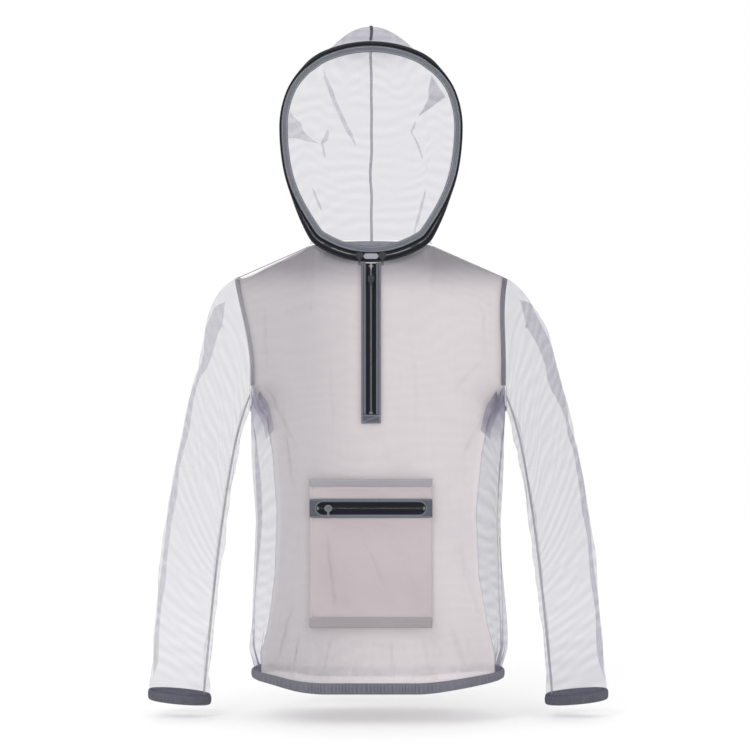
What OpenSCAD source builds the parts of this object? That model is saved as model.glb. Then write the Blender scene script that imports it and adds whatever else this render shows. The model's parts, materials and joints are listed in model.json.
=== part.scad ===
// Hooded pullover jacket of insect netting, with a zip-on face veil, a chest zip and a zip pocket.
// Millimetres, +Z up, the front faces -Y and the wearer's left is +X.
// The origin is the base of the neck, midway between the two neck ends of the shoulder seams.

/* [Torso] */
// Drop from the neck base to the bottom of the hem
body_length = 702; // [690:1:780]
// Half the width at the waist
waist_half_width = 198; // [180:1:210]
// Half the width at the hips
hip_half_width = 207; // [195:1:225]
// Half the depth of the torso, front to back
torso_half_depth = 100; // [90:1:120]
// Half the width of the flat middle of the front and back
flat_half_width = 100; // [98:1:110]
// Half the distance between the two armhole tops
shoulder_half_width = 217; // [205:1:235]
// Drop from the neck base to the armhole top
shoulder_drop = 53; // [40:1:70]
// Height of the armhole
armhole_height = 204; // [190:1:220]
// Half the depth of the armhole, front to back
armhole_half_depth = 74; // [65:1:80]
// Half the width of the neck opening
neck_half_width = 97; // [94:1:97]
// Height of the gathered hem band
hem_height = 18; // [14:1:24]

/* [Sleeves] */
// Distance from the middle of the jacket to the outer edge of a cuff
cuff_outer_reach = 369; // [355:1:385]
// Width of a cuff laid flat
cuff_width = 98; // [90:1:110]
// Half the depth of a cuff
cuff_half_depth = 30; // [25:1:40]
// Drop from the neck base to the bottom of a cuff
sleeve_reach = 729; // [700:1:760]
// Height of a cuff band
cuff_height = 17; // [14:1:22]

/* [Hood] */
// Radius of the round bottom of the face opening, on which the two veil sliders run
ring_bottom_radius = 155; // [150:1:160]
// Drop from the neck base to the bottom of the face opening
ring_drop = 31; // [28:1:34]
// Rise of the crown above the top of the face opening
crown_rise = 34; // [16:1:40]
// How far the hood reaches back behind the neck's middle
hood_reach = 118; // [112:1:130]

/* [Zips] */
// Length of the chest zip
chest_zip_length = 234; // [200:1:250]
// Length of the pocket zip
pocket_zip_length = 168; // [150:1:172]
// Distance between neighbouring zip teeth
tooth_pitch = 4; // [3:1:6]
// Width of a slider
slider_width = 10.4; // [10:0.2:11]
// Length of the hanging part of a pull
pull_length = 15; // [12:1:22]

/* [Pocket] */
// Width of the pocket
pocket_width = 190; // [188:1:196]
// Height of the pocket
pocket_height = 230; // [200:1:250]
// Drop from the neck base to the pocket's top edge
pocket_drop = 367; // [350:1:390]
// How far the pocket stands off the front
pocket_depth = 8; // [6:1:12]
// Height of the facing round the pocket zip
facing_height = 29; // [27:1:34]

/* [Hidden] */
$fn = 48;

cloth = 0.8;
gap = 0.4;
net_colour = [0.91, 0.90, 0.92, 0.6];
cream_colour = [0.86, 0.83, 0.81];
slate_colour = [0.47, 0.49, 0.54];
zip_colour = [0.12, 0.12, 0.14];
metal_colour = [0.55, 0.56, 0.58];
pocket_colour = [0.74, 0.71, 0.72];
tab_colour = [0.74, 0.76, 0.8];

// ---- General functions ----
function unit(v) = v / norm(v);
function mix(a, b, t) = a + (b - a) * t;
function clamp01(t) = min(max(t, 0), 1);
function smooth(t) = clamp01(t) * clamp01(t) * (3 - 2 * clamp01(t));
function round_to(t) = sqrt(max(0, 1 - t * t));
function bezier(p, t) = p[0] * (1 - t) * (1 - t) + p[1] * 2 * t * (1 - t) + p[2] * t * t;

// Paired parts are modelled on the wearer's left (+X) and mirrored for the right
module on_side(side) {
    if (side > 0) children();
    else mirror([1, 0, 0]) children();
}

// Outward normal of a surface given as a function of u and v, both from 0 to 1
step = 0.004;
function normal_at(f, u, v, wrap) =
    let (u0 = wrap ? u - step : max(0, u - step), u1 = wrap ? u + step : min(1, u + step))
    unit(cross(f(u1, v) - f(u0, v), f(u, min(1, v + step)) - f(u, max(0, v - step))));

// A sheet of cloth of even thickness behind the surface f, as one closed solid.
// With wrap the surface closes on itself along u, as a tube does.
module sheet(f, nu, nv, thick = cloth, wrap = false) {
    columns = wrap ? nu : nu + 1;
    half = columns * (nv + 1);
    at = function(i, j) j * columns + (wrap ? i % nu : i);
    outer = [for (j = [0:nv]) for (i = [0:columns - 1]) f(i / nu, j / nv)];
    inner = [for (j = [0:nv]) for (i = [0:columns - 1])
        f(i / nu, j / nv) - thick * normal_at(f, i / nu, j / nv, wrap)];
    skins = [for (j = [0:nv - 1]) for (i = [0:nu - 1])
        let (a = at(i, j), b = at(i + 1, j), c = at(i + 1, j + 1), d = at(i, j + 1))
        each [[a, d, c], [a, c, b], [a + half, b + half, c + half], [a + half, c + half, d + half]]];
    low_rim = [for (i = [0:nu - 1]) let (a = at(i, 0), b = at(i + 1, 0))
        each [[a, b, b + half], [a, b + half, a + half]]];
    high_rim = [for (i = [0:nu - 1]) let (d = at(i, nv), c = at(i + 1, nv))
        each [[c, d, d + half], [c, d + half, c + half]]];
    near_rim = wrap ? [] : [for (j = [0:nv - 1]) let (a = at(0, j), d = at(0, j + 1))
        each [[d, a, a + half], [d, a + half, d + half]]];
    far_rim = wrap ? [] : [for (j = [0:nv - 1]) let (b = at(nu, j), c = at(nu, j + 1))
        each [[b, c, c + half], [b, c + half, b + half]]];
    polyhedron(points = concat(outer, inner),
        faces = concat(skins, low_rim, high_rim, near_rim, far_rim), convexity = 8);
}

// ---- The face opening: tangent arcs, each with its radius and the heading at its end ----
ring_arcs = [[ring_bottom_radius, 32], [45, 61], [350, 90], [147, 130], [90, 157]];
function arc_move(r, a, b) = r * [sin(b) - sin(a), cos(a) - cos(b)];
function arc_start(k) = k == 0 ? 0 : ring_arcs[k - 1][1];
// End point of the first k + 1 arcs, set in by inset
function arcs_to(k, inset) = k < 0 ? [0, inset - ring_drop]
    : arcs_to(k - 1, inset) + arc_move(ring_arcs[k][0] - inset, arc_start(k), ring_arcs[k][1]);
last_arc = len(ring_arcs) - 1;
ring_top_radius = arcs_to(last_arc, 0)[0] / sin(ring_arcs[last_arc][1]);
function arc_at(h, k = 0) = k > last_arc || h <= ring_arcs[k][1] ? k : arc_at(h, k + 1);
// Point of the half outline at a heading from 0 (bottom) to 180 (top), set in by inset
function ring_at(h, inset) =
    let (k = arc_at(h),
         r = (k > last_arc ? ring_top_radius : ring_arcs[k][0]) - inset)
    arcs_to(k - 1, inset) + arc_move(r, arc_start(k), h);
ring_headings = [0, 4, 8, 12, 16, 20, 24, 28, 32, 39, 46, 53, 61, 66, 71, 76, 81, 85, 90,
    98, 106, 114, 122, 130, 139, 148, 157, 163, 169, 175, 180];
function ring_outline(inset) = concat([for (h = ring_headings) ring_at(h, inset)],
    [for (k = [len(ring_headings) - 2:-1:1]) let (p = ring_at(ring_headings[k], inset)) [-p[0], p[1]]]);

// ---- The torso surface ----
front_y = -torso_half_depth;
hem_top = hem_height - body_length;
armhole_mid = -shoulder_drop - armhole_height / 2;
armhole_low = -shoulder_drop - armhole_height;
// The side panels' top corners stand this far above the bottom of the armhole
side_rise = 35;
side_join = armhole_low + side_rise;

// Half the width across the whole torso at height z, drawn in at the waist and again at the hem
function half_width(z) = lookup(z, [[-body_length, hip_half_width - 9], [hem_top, hip_half_width - 7],
    [-650, hip_half_width], [-600, hip_half_width - 1], [-440, waist_half_width],
    [-330, waist_half_width + 5],
    [armhole_low, shoulder_half_width - 13], [armhole_mid, shoulder_half_width]]);
// Half the width of the front and back panels, where the sheer side panels begin.
// The panels are narrowest at the waist.
function panel_edge(z) = lookup(z, [[-body_length, 184], [-650, 184], [-600, 172], [-520, 160],
    [-420, 156], [-330, 164], [-262, 177], [side_join, armhole_x(side_join)]]);
// The armhole leans in by armhole_lean at mid height and is scooped in by armhole_scoop besides
armhole_lean = 7;
armhole_scoop = 9;
armhole_half_height = armhole_height / 2;
function armhole_x(z) = let (c = (z - armhole_mid) / armhole_half_height)
    shoulder_half_width - armhole_lean * (1 - c) - armhole_scoop * (1 - c * c);
function armhole_y(z) = armhole_half_depth * round_to((z - armhole_mid) / armhole_half_height);

function edge_x(z) = z > side_join ? armhole_x(z) : panel_edge(z);
// The sides are round: the angle on them at which a side panel begins
function section_angle(z) =
    asin(clamp01((panel_edge(z) - flat_half_width) / (half_width(z) - flat_half_width)));
// Depth of a front or back panel's side edge, which meets the armhole above side_join
join_blend = 40;
function join_share(z) = smooth((z - side_join + join_blend) / join_blend);
function edge_depth(z) = z >= armhole_mid ? armhole_half_depth
    : mix(torso_half_depth * cos(section_angle(z)), armhole_y(z), join_share(z));

// Top edge of the front (back = 0) and of the back (back = 1) at x
neck_arc_radius = ring_bottom_radius - 2;
neck_arc_middle = ring_bottom_radius - ring_drop;
back_neck_rise = 14;
back_neck_reach = 82;
neck_corner = 17;
function shoulder_z(x) =
    -shoulder_drop * clamp01((x - neck_half_width) / (shoulder_half_width - neck_half_width));
function front_neck_z(x) = neck_arc_middle - sqrt(neck_arc_radius * neck_arc_radius - x * x);
function top_z(x, back) = x > neck_half_width ? shoulder_z(x)
    : back == 1 ? back_neck_rise * round_to(x / neck_half_width)
    : mix(front_neck_z(x), shoulder_z(x), smooth((x - neck_half_width + neck_corner) / neck_corner));
shoulder_gap = 0.5;
function top_depth(x, back) = shoulder_gap
    + (back == 1 ? back_neck_reach : torso_half_depth - shoulder_gap)
    * (x > neck_half_width ? 0 : round_to(x / neck_half_width));

// A point of the front or back panel: u runs across from -X to +X, v from hem to shoulder
function panel_point(u, v, back) =
    let (side = 2 * u - 1,
         z0 = mix(hem_top, -shoulder_drop, v),
         x = abs(side) * edge_x(z0),
         q = clamp01((z0 - armhole_mid) / armhole_half_height),
         z = z0 <= armhole_mid ? z0 : armhole_mid + (top_z(x, back) - armhole_mid) * q,
         e = clamp01((x - flat_half_width) / (edge_x(z0) - flat_half_width)),
         depth = mix(torso_half_depth, edge_depth(z0), e * e),
         top = top_depth(x, back),
         y = z0 <= armhole_mid ? depth : top + (depth - top) * round_to(q))
    [sign(side) * x, back == 1 ? y : -y, z];

// A point of the left side panel: u runs from the front edge to the back edge, v from hem to armhole.
// It stops seam_gap short of the front and back panels.
side_blend = 60;
seam_gap = 1.6;
function side_point(u, v) =
    let (c = 2 * u - 1,
         low = armhole_low + (side_join - armhole_low) * c * c,
         z = mix(hem_top, low, v),
         a = mix(section_angle(z), 180 - section_angle(z), u),
         plain = [flat_half_width + (half_width(z) - flat_half_width) * sin(a), -torso_half_depth * cos(a)],
         rim = [armhole_x(low), armhole_y(low) * sign(c)],
         p = mix(plain, rim, smooth((z - low + side_blend) / side_blend)))
    [p[0] - gap, p[1] - seam_gap * c, z];

module body_panel(back) {
    sheet(function(u, v) panel_point(back == 1 ? 1 - u : u, v, back), 20, 15);
}

slit_half_width = 9;
module front_panel() {
    color(cream_colour) difference() {
        body_panel(0);
        // Slit behind the chest zip, open at the neck
        plate(-slit_half_width, slit_half_width, front_y - 2, front_y + 6, chest_low, chest_top + ring_drop);
    }
}

module back_panel() {
    color(cream_colour) body_panel(1);
}

module side_panel(side) {
    color(net_colour) on_side(side) sheet(function(u, v) side_point(u, v), 8, 11);
}

// A loop round the torso just below the panels, for the hem: two round sides and two flats
function torso_loop(u, inset, z) =
    let (quarter = 4 * u, k = floor(quarter) % 4, t = quarter - floor(quarter),
         a = k == 0 ? mix(-90, 90, t) : k == 2 ? mix(90, 270, t) : k == 1 ? 90 : 270,
         run = half_width(z) - flat_half_width - inset,
         flat = k == 0 ? 1 : k == 1 ? 1 - 2 * t : k == 2 ? -1 : 2 * t - 1)
    [flat * flat_half_width + run * cos(a), (torso_half_depth - inset) * sin(a), z];

// A folded casing hangs from a loop: down its outer wall, round the fold and up its inner wall
fold = 2.6;
function casing_point(loop, u, v, top, height) =
    let (inset = lookup(v, [[0, 0], [0.4, 0], [0.6, fold], [1, fold]]),
         drop = lookup(v, [[0, 0], [0.4, height - 1], [0.5, height], [0.6, height - 1], [1, 0]]))
    loop(u, inset + cloth, top - drop);

module casing(loop, columns, top, height) {
    sheet(function(u, v) casing_point(loop, u, v, top, height), columns, 5, cloth, true);
}

module hem_casing() {
    color(slate_colour)
        casing(function(u, inset, z) torso_loop(1 - u, inset, z), 36, hem_top - gap, hem_height);
}

// The elastic lies between the casing's two walls
elastic_thickness = 0.5;
elastic_inset = 1.05;
module hem_elastic() {
    color("white") sheet(function(u, v)
        torso_loop(u, cloth + elastic_inset, mix(4 - body_length, hem_top - 2, v)),
        36, 1, elastic_thickness, true);
}

// Seam tapes lie just outside the cloth they cover
seam_half_width = 5;
module shoulder_seam(side) {
    color(slate_colour) on_side(side) sheet(function(u, v)
        let (x = mix(neck_half_width + 2, shoulder_half_width - seam_half_width - 4, u))
        [x, mix(-seam_half_width, seam_half_width, v), shoulder_z(x) + gap + cloth + 0.2], 6, 1);
}

// A strip of tape over the part of the surface f that spans u0 to u1 and v0 to v1
module tape_over(f, u0, u1, v0, v1, nu, nv) {
    sheet(function(u, v) let (a = mix(u0, u1, u), b = mix(v0, v1, v))
        f(a, b) + (cloth + gap) * normal_at(f, a, b, false), nu, nv);
}

// The armhole seam lies over the edges of the front, back and side panels
join_v = (side_join - hem_top) / (-shoulder_drop - hem_top);
tape_share = 7 / shoulder_half_width / 2;
module armhole_seam(side) {
    color(slate_colour) on_side(side) {
        tape_over(function(u, v) panel_point(u, v, 0), 1 - tape_share, 1, join_v + 0.012, 0.97, 1, 14);
        tape_over(function(u, v) panel_point(1 - u, v, 1), 0, tape_share, join_v + 0.012, 0.97, 1, 14);
        tape_over(function(u, v) side_point(u, v), 0.03, 0.97, 0.984, 1, 12, 1);
    }
}

// ---- Sleeves: a loft between an outer and an inner line, both seen from the front ----
sleeve_start = 2.2;
outer_line = [
    [shoulder_half_width + sleeve_start, -shoulder_drop],
    [cuff_outer_reach - 31, -250],
    [cuff_outer_reach, -sleeve_reach]];
inner_line = [
    [shoulder_half_width - 2 * armhole_lean + sleeve_start, armhole_low],
    [cuff_outer_reach - 114, -430],
    [cuff_outer_reach - cuff_width, -sleeve_reach]];
cuff_from = 1 - cuff_height / (sleeve_reach - shoulder_drop);
function sleeve_depth(t) =
    lookup(t, [[0, armhole_half_depth], [0.3, 61], [0.6, 50], [0.9, 36], [1, cuff_half_depth]]);
// The sleeve's cap stands out past the shoulder by sleeve_cap, most of all at cap_at of its length
sleeve_cap = 14;
cap_at = 0.1;
function cap(t) = [sleeve_cap * t / cap_at * exp(1 - t / cap_at), 0];
// A point of the sleeve: a is 0 on its outer line and 180 on its inner one, t runs from armhole to cuff
function sleeve_point(a, t, inset) =
    let (o = bezier(outer_line, t) + cap(t),
         i = bezier(inner_line, t),
         half = (o - i) / 2,
         reach = norm(half),
         p = (o + i) / 2 + half * ((reach - inset) / reach) * cos(a),
         scoop = armhole_scoop * sin(a) * sin(a) * (1 - smooth(t / 0.2)))
    [p[0] - scoop, -(sleeve_depth(t) - inset) * sin(a), p[1]];

module sleeve(side) {
    color(net_colour) on_side(side) sheet(function(u, v)
        sleeve_point(360 * u, v * cuff_from, 0), 16, 12, cloth, true);
}

function cuff_loop(u, inset, drop) = sleeve_point(360 * u, cuff_from, inset) - [0, 0, drop + gap];

module cuff_casing(side) {
    color(slate_colour) on_side(side)
        casing(function(u, inset, z) cuff_loop(u, inset - cloth, -z), 20, 0, cuff_height);
}

module cuff_elastic(side) {
    color("white") on_side(side) sheet(function(u, v)
        cuff_loop(u, elastic_inset, mix(2, cuff_height - 4, v)), 20, 1, elastic_thickness, true);
}

// ---- Hood: slices across the hood from the face opening to the back ----
crown_y = -30;
hood_front = front_y + 0.2;
pole_z = 160;
hood_inset = 2;
function hood_slice_y(v) = mix(hood_front, hood_reach, 1 - pow(1 - v, 1.6));
// The hood's centre line below its pole runs from the back of the neck to the pole's back
function nape_z(y) =
    let (t = (y - back_neck_reach) / (hood_reach - back_neck_reach))
    mix(back_neck_rise, pole_z - 20, 1 - round_to(t));
function neck_x(y) = neck_half_width * round_to(y < 0 ? y / torso_half_depth : y / back_neck_reach);
function neck_point(y) = y > back_neck_reach ? [0, nape_z(y)]
    : [neck_x(y), top_z(neck_x(y), y < 0 ? 0 : 1) + 2 * cloth];
// Heading of the face opening's outline straight in front of the neck seam at depth y
function neck_heading(y) = max(3, asin((y < 0 ? neck_x(y) : neck_half_width) / neck_arc_radius));
// The outline of the hood's slice at depth y, at a heading of the face opening's outline.
// It follows the face opening as far as crown_y, and closes in an egg behind that.
function hood_slice(y, heading) =
    let (ring = ring_at(heading, hood_inset),
         g = y < crown_y ? 1 : round_to((y - crown_y) / (hood_reach - crown_y)),
         rise = crown_rise * (y < crown_y ? 1 - pow((crown_y - y) / (crown_y - hood_front), 2) : 1),
         lift = heading < 90 ? 0 : rise * max(0, 1 - pow(ring[0] / 85, 2)))
    [ring[0] * g, pole_z + (ring[1] + lift - pole_z) * max(g, 0.12)];
// A point of the left half of the hood: u runs from neck to crown seam, v from face opening to back
function hood_point(u, v) =
    let (y = hood_slice_y(v),
         start = neck_heading(y),
         to_neck = neck_point(y) - hood_slice(y, start),
         p = hood_slice(y, mix(start, 180, u)) + to_neck * (1 - smooth(u / 0.34)))
    [p[0] + 0.5, y, p[1]];

module hood_panel(side) {
    color(net_colour) on_side(side) sheet(function(u, v) hood_point(v, u), 11, 16);
}

module hood_centre_seam() {
    color(slate_colour) sheet(function(u, v)
        let (p = hood_point(1, 1 - u)) [mix(-4, 4, v), p[1] + (u < 0.3 ? 1.4 : 0.2), p[2] + 1.4], 12, 1);
}

module neck_binding() {
    color(slate_colour) sheet(function(u, v)
        let (a = mix(14, 346, u), f = cos(a) > 0,
             x = neck_half_width * abs(sin(a)),
             y = f ? -torso_half_depth * cos(a) : -back_neck_reach * cos(a))
        [(neck_half_width - 3) * sin(a), y * 0.96, top_z(x, f ? 0 : 1) + mix(-9, -1, v)], 26, 1);
}

// ---- Zips. In its own frame a zip has the tape's front at y = 0 and the front towards -Y ----
zip_y = front_y - 1.2;
row_near = 0.8;
row_far = 3.2;
tooth_height = 2;
tape_reach = 13;
ring_zip_inset = 9;

// A comb of teeth along +Z, standing on the tape, with its tips towards the middle line
module teeth_row(side, length) {
    count = floor(length / tooth_pitch);
    rotate([90, 0, 0]) linear_extrude(tooth_height)
        polygon(concat([[side * row_far, 0]],
            [for (k = [0:count - 1]) each [[side * 2, k * tooth_pitch], [side * row_near, k * tooth_pitch],
                [side * row_near, (k + 0.55) * tooth_pitch], [side * 2, (k + 0.55) * tooth_pitch]]],
            [[side * 2, count * tooth_pitch], [side * row_far, count * tooth_pitch]]));
}

module plate(x0, x1, y0, y1, z0, z1) {
    translate([x0, y0, z0]) cube([x1 - x0, y1 - y0, z1 - z0]);
}

// A flat ring between two insets of the face opening, from y0 to y1
module ring_band(inset0, inset1, y0, y1) {
    translate([0, y1, 0]) rotate([90, 0, 0]) linear_extrude(y1 - y0) difference() {
        polygon(ring_outline(inset0));
        polygon(ring_outline(inset1));
    }
}

// The slider: plates in front of and behind the teeth, a post between the rows and two flanges.
// The back plate spans from back_from to back_to. run turns it from a vertical to a level zip.
pin_y = -6;
pin_radius = 0.6;
slider_length = 12;
module slider_body(run, back_from, back_to) {
    half = slider_width / 2;
    rotate([0, run, 0]) {
        hull() for (end = [-1, 1]) translate([0, -2.4, end * (slider_length / 2 - half)])
            rotate([90, 0, 0]) cylinder(h = 1.4, r = half);
        plate(back_from, back_to, cloth + 0.3, cloth + 1.5, -slider_length / 2, slider_length / 2);
        plate(-0.5, 0.5, -2.5, cloth + 0.4, -3, 3);
        for (side = [-1, 1])
            plate(min(side * 3.6, side * half), max(side * 3.6, side * half), -2.5, -gap, -2.5, 2.5);
    }
    for (side = [-1, 1])
        plate(side * 2.3 - 0.4, side * 2.3 + 0.4, pin_y - 1, -3.7, -1, 1);
    translate([-2.4, pin_y, 0]) rotate([0, 90, 0]) cylinder(h = 4.8, r = pin_radius);
}

// The pull hangs from the slider's pin by an eye
module pull_body() {
    difference() {
        union() {
            translate([-1.6, pin_y, 0]) rotate([0, 90, 0]) cylinder(h = 3.2, r = 1.7);
            plate(-1.6, 1.6, pin_y - 0.5, pin_y + 0.5, -pull_length + 2, -1);
            translate([0, pin_y + 0.5, -pull_length + 2]) rotate([90, 0, 0]) cylinder(h = 1, r = 2.4);
        }
        translate([-3, pin_y, 0]) rotate([0, 90, 0]) cylinder(h = 6, r = pin_radius + 0.4);
        translate([0, pin_y + 2, -pull_length + 2]) rotate([90, 0, 0]) cylinder(h = 4, r = 1.1);
    }
}

// Face opening zip
module ring_outer_tape() color(zip_colour) ring_band(0, ring_zip_inset - row_near, zip_y, zip_y + cloth);
teeth_y = zip_y - tooth_height;
module ring_outer_teeth()
    color(zip_colour) ring_band(ring_zip_inset - row_far, ring_zip_inset - row_near, teeth_y, zip_y);
module ring_inner_tape()
    color(zip_colour) ring_band(ring_zip_inset + row_near, ring_zip_inset + 10, zip_y, zip_y + cloth);
module ring_inner_teeth()
    color(zip_colour) ring_band(ring_zip_inset + row_near, ring_zip_inset + row_far, teeth_y, zip_y);
binding_y = zip_y - gap - cloth;
module veil_binding() color(slate_colour) ring_band(15, 25, binding_y, zip_y - gap);
module face_veil() {
    color(net_colour) translate([0, zip_y + cloth + gap + cloth, 0]) rotate([90, 0, 0])
        linear_extrude(cloth) polygon(ring_outline(15.5));
}
module ring_zip_tab() {
    color(tab_colour) hull() for (side = [-1, 1])
        translate([side * 7, teeth_y - 0.2, ring_zip_inset - ring_drop]) rotate([90, 0, 0])
            cylinder(h = 1.2, r = 4.2);
}

// The plates follow the curved row, while the pin stays level so that the pull hangs straight down.
// The back plate reaches behind the veil's half of the zip only, so the veil can lift with its sliders.
ring_slider_angle = 7;
ring_row_radius = ring_bottom_radius - ring_zip_inset;
ring_slider_x = ring_row_radius * sin(ring_slider_angle);
ring_slider_z = neck_arc_middle - ring_row_radius * cos(ring_slider_angle);
module at_ring_slider(side) {
    translate([side * ring_slider_x, zip_y, ring_slider_z]) children();
}
module ring_slider(side) {
    color(metal_colour) at_ring_slider(side)
        slider_body(90 - side * ring_slider_angle, -slider_width / 2, 0.5);
}
module ring_pull(side) {
    color(metal_colour) at_ring_slider(side) pull_body();
}

// Chest zip
chest_top = -ring_drop - 2;
chest_low = chest_top - chest_zip_length;
chest_slider_z = chest_top - 24;
chest_window = 7.75;
binding_edge = 15;
module chest_tape(side)
    color(zip_colour) plate(side > 0 ? row_near : -tape_reach, side > 0 ? tape_reach : -row_near,
        zip_y, zip_y + cloth, chest_low - 6, chest_top);
module chest_teeth(side)
    color(zip_colour) translate([0, zip_y, chest_low]) teeth_row(side, chest_zip_length - 8);
module chest_binding(side)
    color(slate_colour) plate(
        side > 0 ? chest_window : -binding_edge, side > 0 ? binding_edge : -chest_window,
        binding_y, zip_y - gap, chest_low + gap, chest_top);
module chest_bottom_patch()
    color(slate_colour) plate(-binding_edge, binding_edge, binding_y, zip_y - gap, chest_low - 14, chest_low);
module chest_top_stops() {
    color(metal_colour) for (side = [-1, 1])
        plate(side * 2.3 - 1, side * 2.3 + 1, teeth_y, zip_y, chest_top - 6, chest_top - 2.5);
}
module chest_bottom_stop()
    color(metal_colour) plate(-2.6, 2.6, teeth_y - 1.2, teeth_y, chest_low + 1, chest_low + 4);
module chest_slider() {
    color(metal_colour) translate([0, zip_y, chest_slider_z])
        slider_body(0, -slider_width / 2, slider_width / 2);
}
module chest_pull() {
    color(metal_colour) translate([0, zip_y, chest_slider_z]) pull_body();
}

// Pocket
pocket_top = -pocket_drop;
pocket_low = pocket_top - pocket_height;
pocket_y = front_y - pocket_depth - gap;
pocket_zip_y = pocket_y - 2 * cloth;
pocket_zip_z = pocket_top - 45;
pocket_slider_x = -66;
window_height = 19;
module level_slot(length, height, y0, y1) {
    translate([0, y1, pocket_zip_z]) rotate([90, 0, 0]) linear_extrude(y1 - y0)
        hull() for (side = [-1, 1]) translate([side * (length - height) / 2, 0]) circle(d = height);
}
module pocket_panel() {
    half = pocket_width / 2;
    color(pocket_colour) difference() {
        plate(-half, half, pocket_y - cloth, front_y - gap, pocket_low, pocket_top);
        plate(cloth - half, half - cloth, pocket_y, front_y, pocket_low + cloth, pocket_top - cloth);
        plate(-pocket_zip_length / 2 - 2, pocket_zip_length / 2 + 2, pocket_y - 2, pocket_y + 1,
            pocket_zip_z - window_height / 2 - 1.5, pocket_zip_z + window_height / 2 + 1.5);
    }
}
module pocket_strip(low, high)
    color(slate_colour)
        plate(-pocket_width / 2, pocket_width / 2, pocket_y - 2 * cloth, pocket_y - cloth, low, high);
module pocket_top_strip() pocket_strip(pocket_top - 11, pocket_top);
module pocket_bottom_hem() pocket_strip(pocket_low, pocket_low + 16);
module pocket_facing() {
    color(slate_colour) difference() {
        plate(-pocket_width / 2, pocket_width / 2, pocket_zip_y - cloth, pocket_zip_y,
            pocket_zip_z - facing_height / 2, pocket_zip_z + facing_height / 2);
        level_slot(pocket_zip_length, window_height, pocket_zip_y - 3, pocket_zip_y + 3);
    }
}
module pocket_tape(side)
    color(zip_colour) plate(
        -pocket_zip_length / 2 - 6, pocket_zip_length / 2 + 6,
        pocket_zip_y, pocket_zip_y + cloth,
        pocket_zip_z + (side > 0 ? row_near : -tape_reach),
        pocket_zip_z + (side > 0 ? tape_reach : -row_near));
module pocket_teeth(side)
    color(zip_colour) translate([-pocket_zip_length / 2 + 4, pocket_zip_y, pocket_zip_z])
        rotate([0, 90, 0]) teeth_row(-side, pocket_zip_length - 8);
module pocket_zip_stops() {
    color(metal_colour) for (side = [-1, 1])
        plate(side * (pocket_zip_length / 2 - 2) - 1.2, side * (pocket_zip_length / 2 - 2) + 1.2,
            pocket_zip_y - tooth_height, pocket_zip_y, pocket_zip_z - 2.6, pocket_zip_z + 2.6);
}
module pocket_slider() {
    color(metal_colour) translate([pocket_slider_x, pocket_zip_y, pocket_zip_z])
        slider_body(90, -slider_width / 2, slider_width / 2);
}
module pocket_pull() {
    color(metal_colour) translate([pocket_slider_x, pocket_zip_y, pocket_zip_z]) pull_body();
}

front_panel();
back_panel();
side_panel(1);  // left_side_panel
side_panel(-1);  // right_side_panel
hem_casing();
hem_elastic();
shoulder_seam(1);  // left_shoulder_seam
shoulder_seam(-1);  // right_shoulder_seam
armhole_seam(1);  // left_armhole_seam
armhole_seam(-1);  // right_armhole_seam
sleeve(1);  // left_sleeve
sleeve(-1);  // right_sleeve
cuff_casing(1);  // left_cuff_casing
cuff_casing(-1);  // right_cuff_casing
cuff_elastic(1);  // left_cuff_elastic
cuff_elastic(-1);  // right_cuff_elastic
hood_panel(1);  // hood_left_panel
hood_panel(-1);  // hood_right_panel
hood_centre_seam();
neck_binding();
ring_outer_tape();
ring_outer_teeth();
ring_inner_tape();
ring_inner_teeth();
veil_binding();
face_veil();
ring_zip_tab();
ring_slider(1);  // left_ring_slider
ring_slider(-1);  // right_ring_slider
ring_pull(1);  // left_ring_pull
ring_pull(-1);  // right_ring_pull
chest_tape(1);  // chest_left_tape
chest_tape(-1);  // chest_right_tape
chest_teeth(1);  // chest_left_teeth
chest_teeth(-1);  // chest_right_teeth
chest_binding(1);  // chest_left_binding
chest_binding(-1);  // chest_right_binding
chest_bottom_patch();
chest_top_stops();
chest_bottom_stop();
chest_slider();
chest_pull();
pocket_panel();
pocket_top_strip();
pocket_facing();
pocket_bottom_hem();
pocket_tape(1);  // pocket_upper_tape
pocket_tape(-1);  // pocket_lower_tape
pocket_teeth(1);  // pocket_upper_teeth
pocket_teeth(-1);  // pocket_lower_teeth
pocket_zip_stops();
pocket_slider();
pocket_pull();
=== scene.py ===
"""Hooded pullover jacket of insect netting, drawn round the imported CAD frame.
Metres, +Z up, the front faces -Y, and the wearer's left is +X."""
import json
import math

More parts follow.
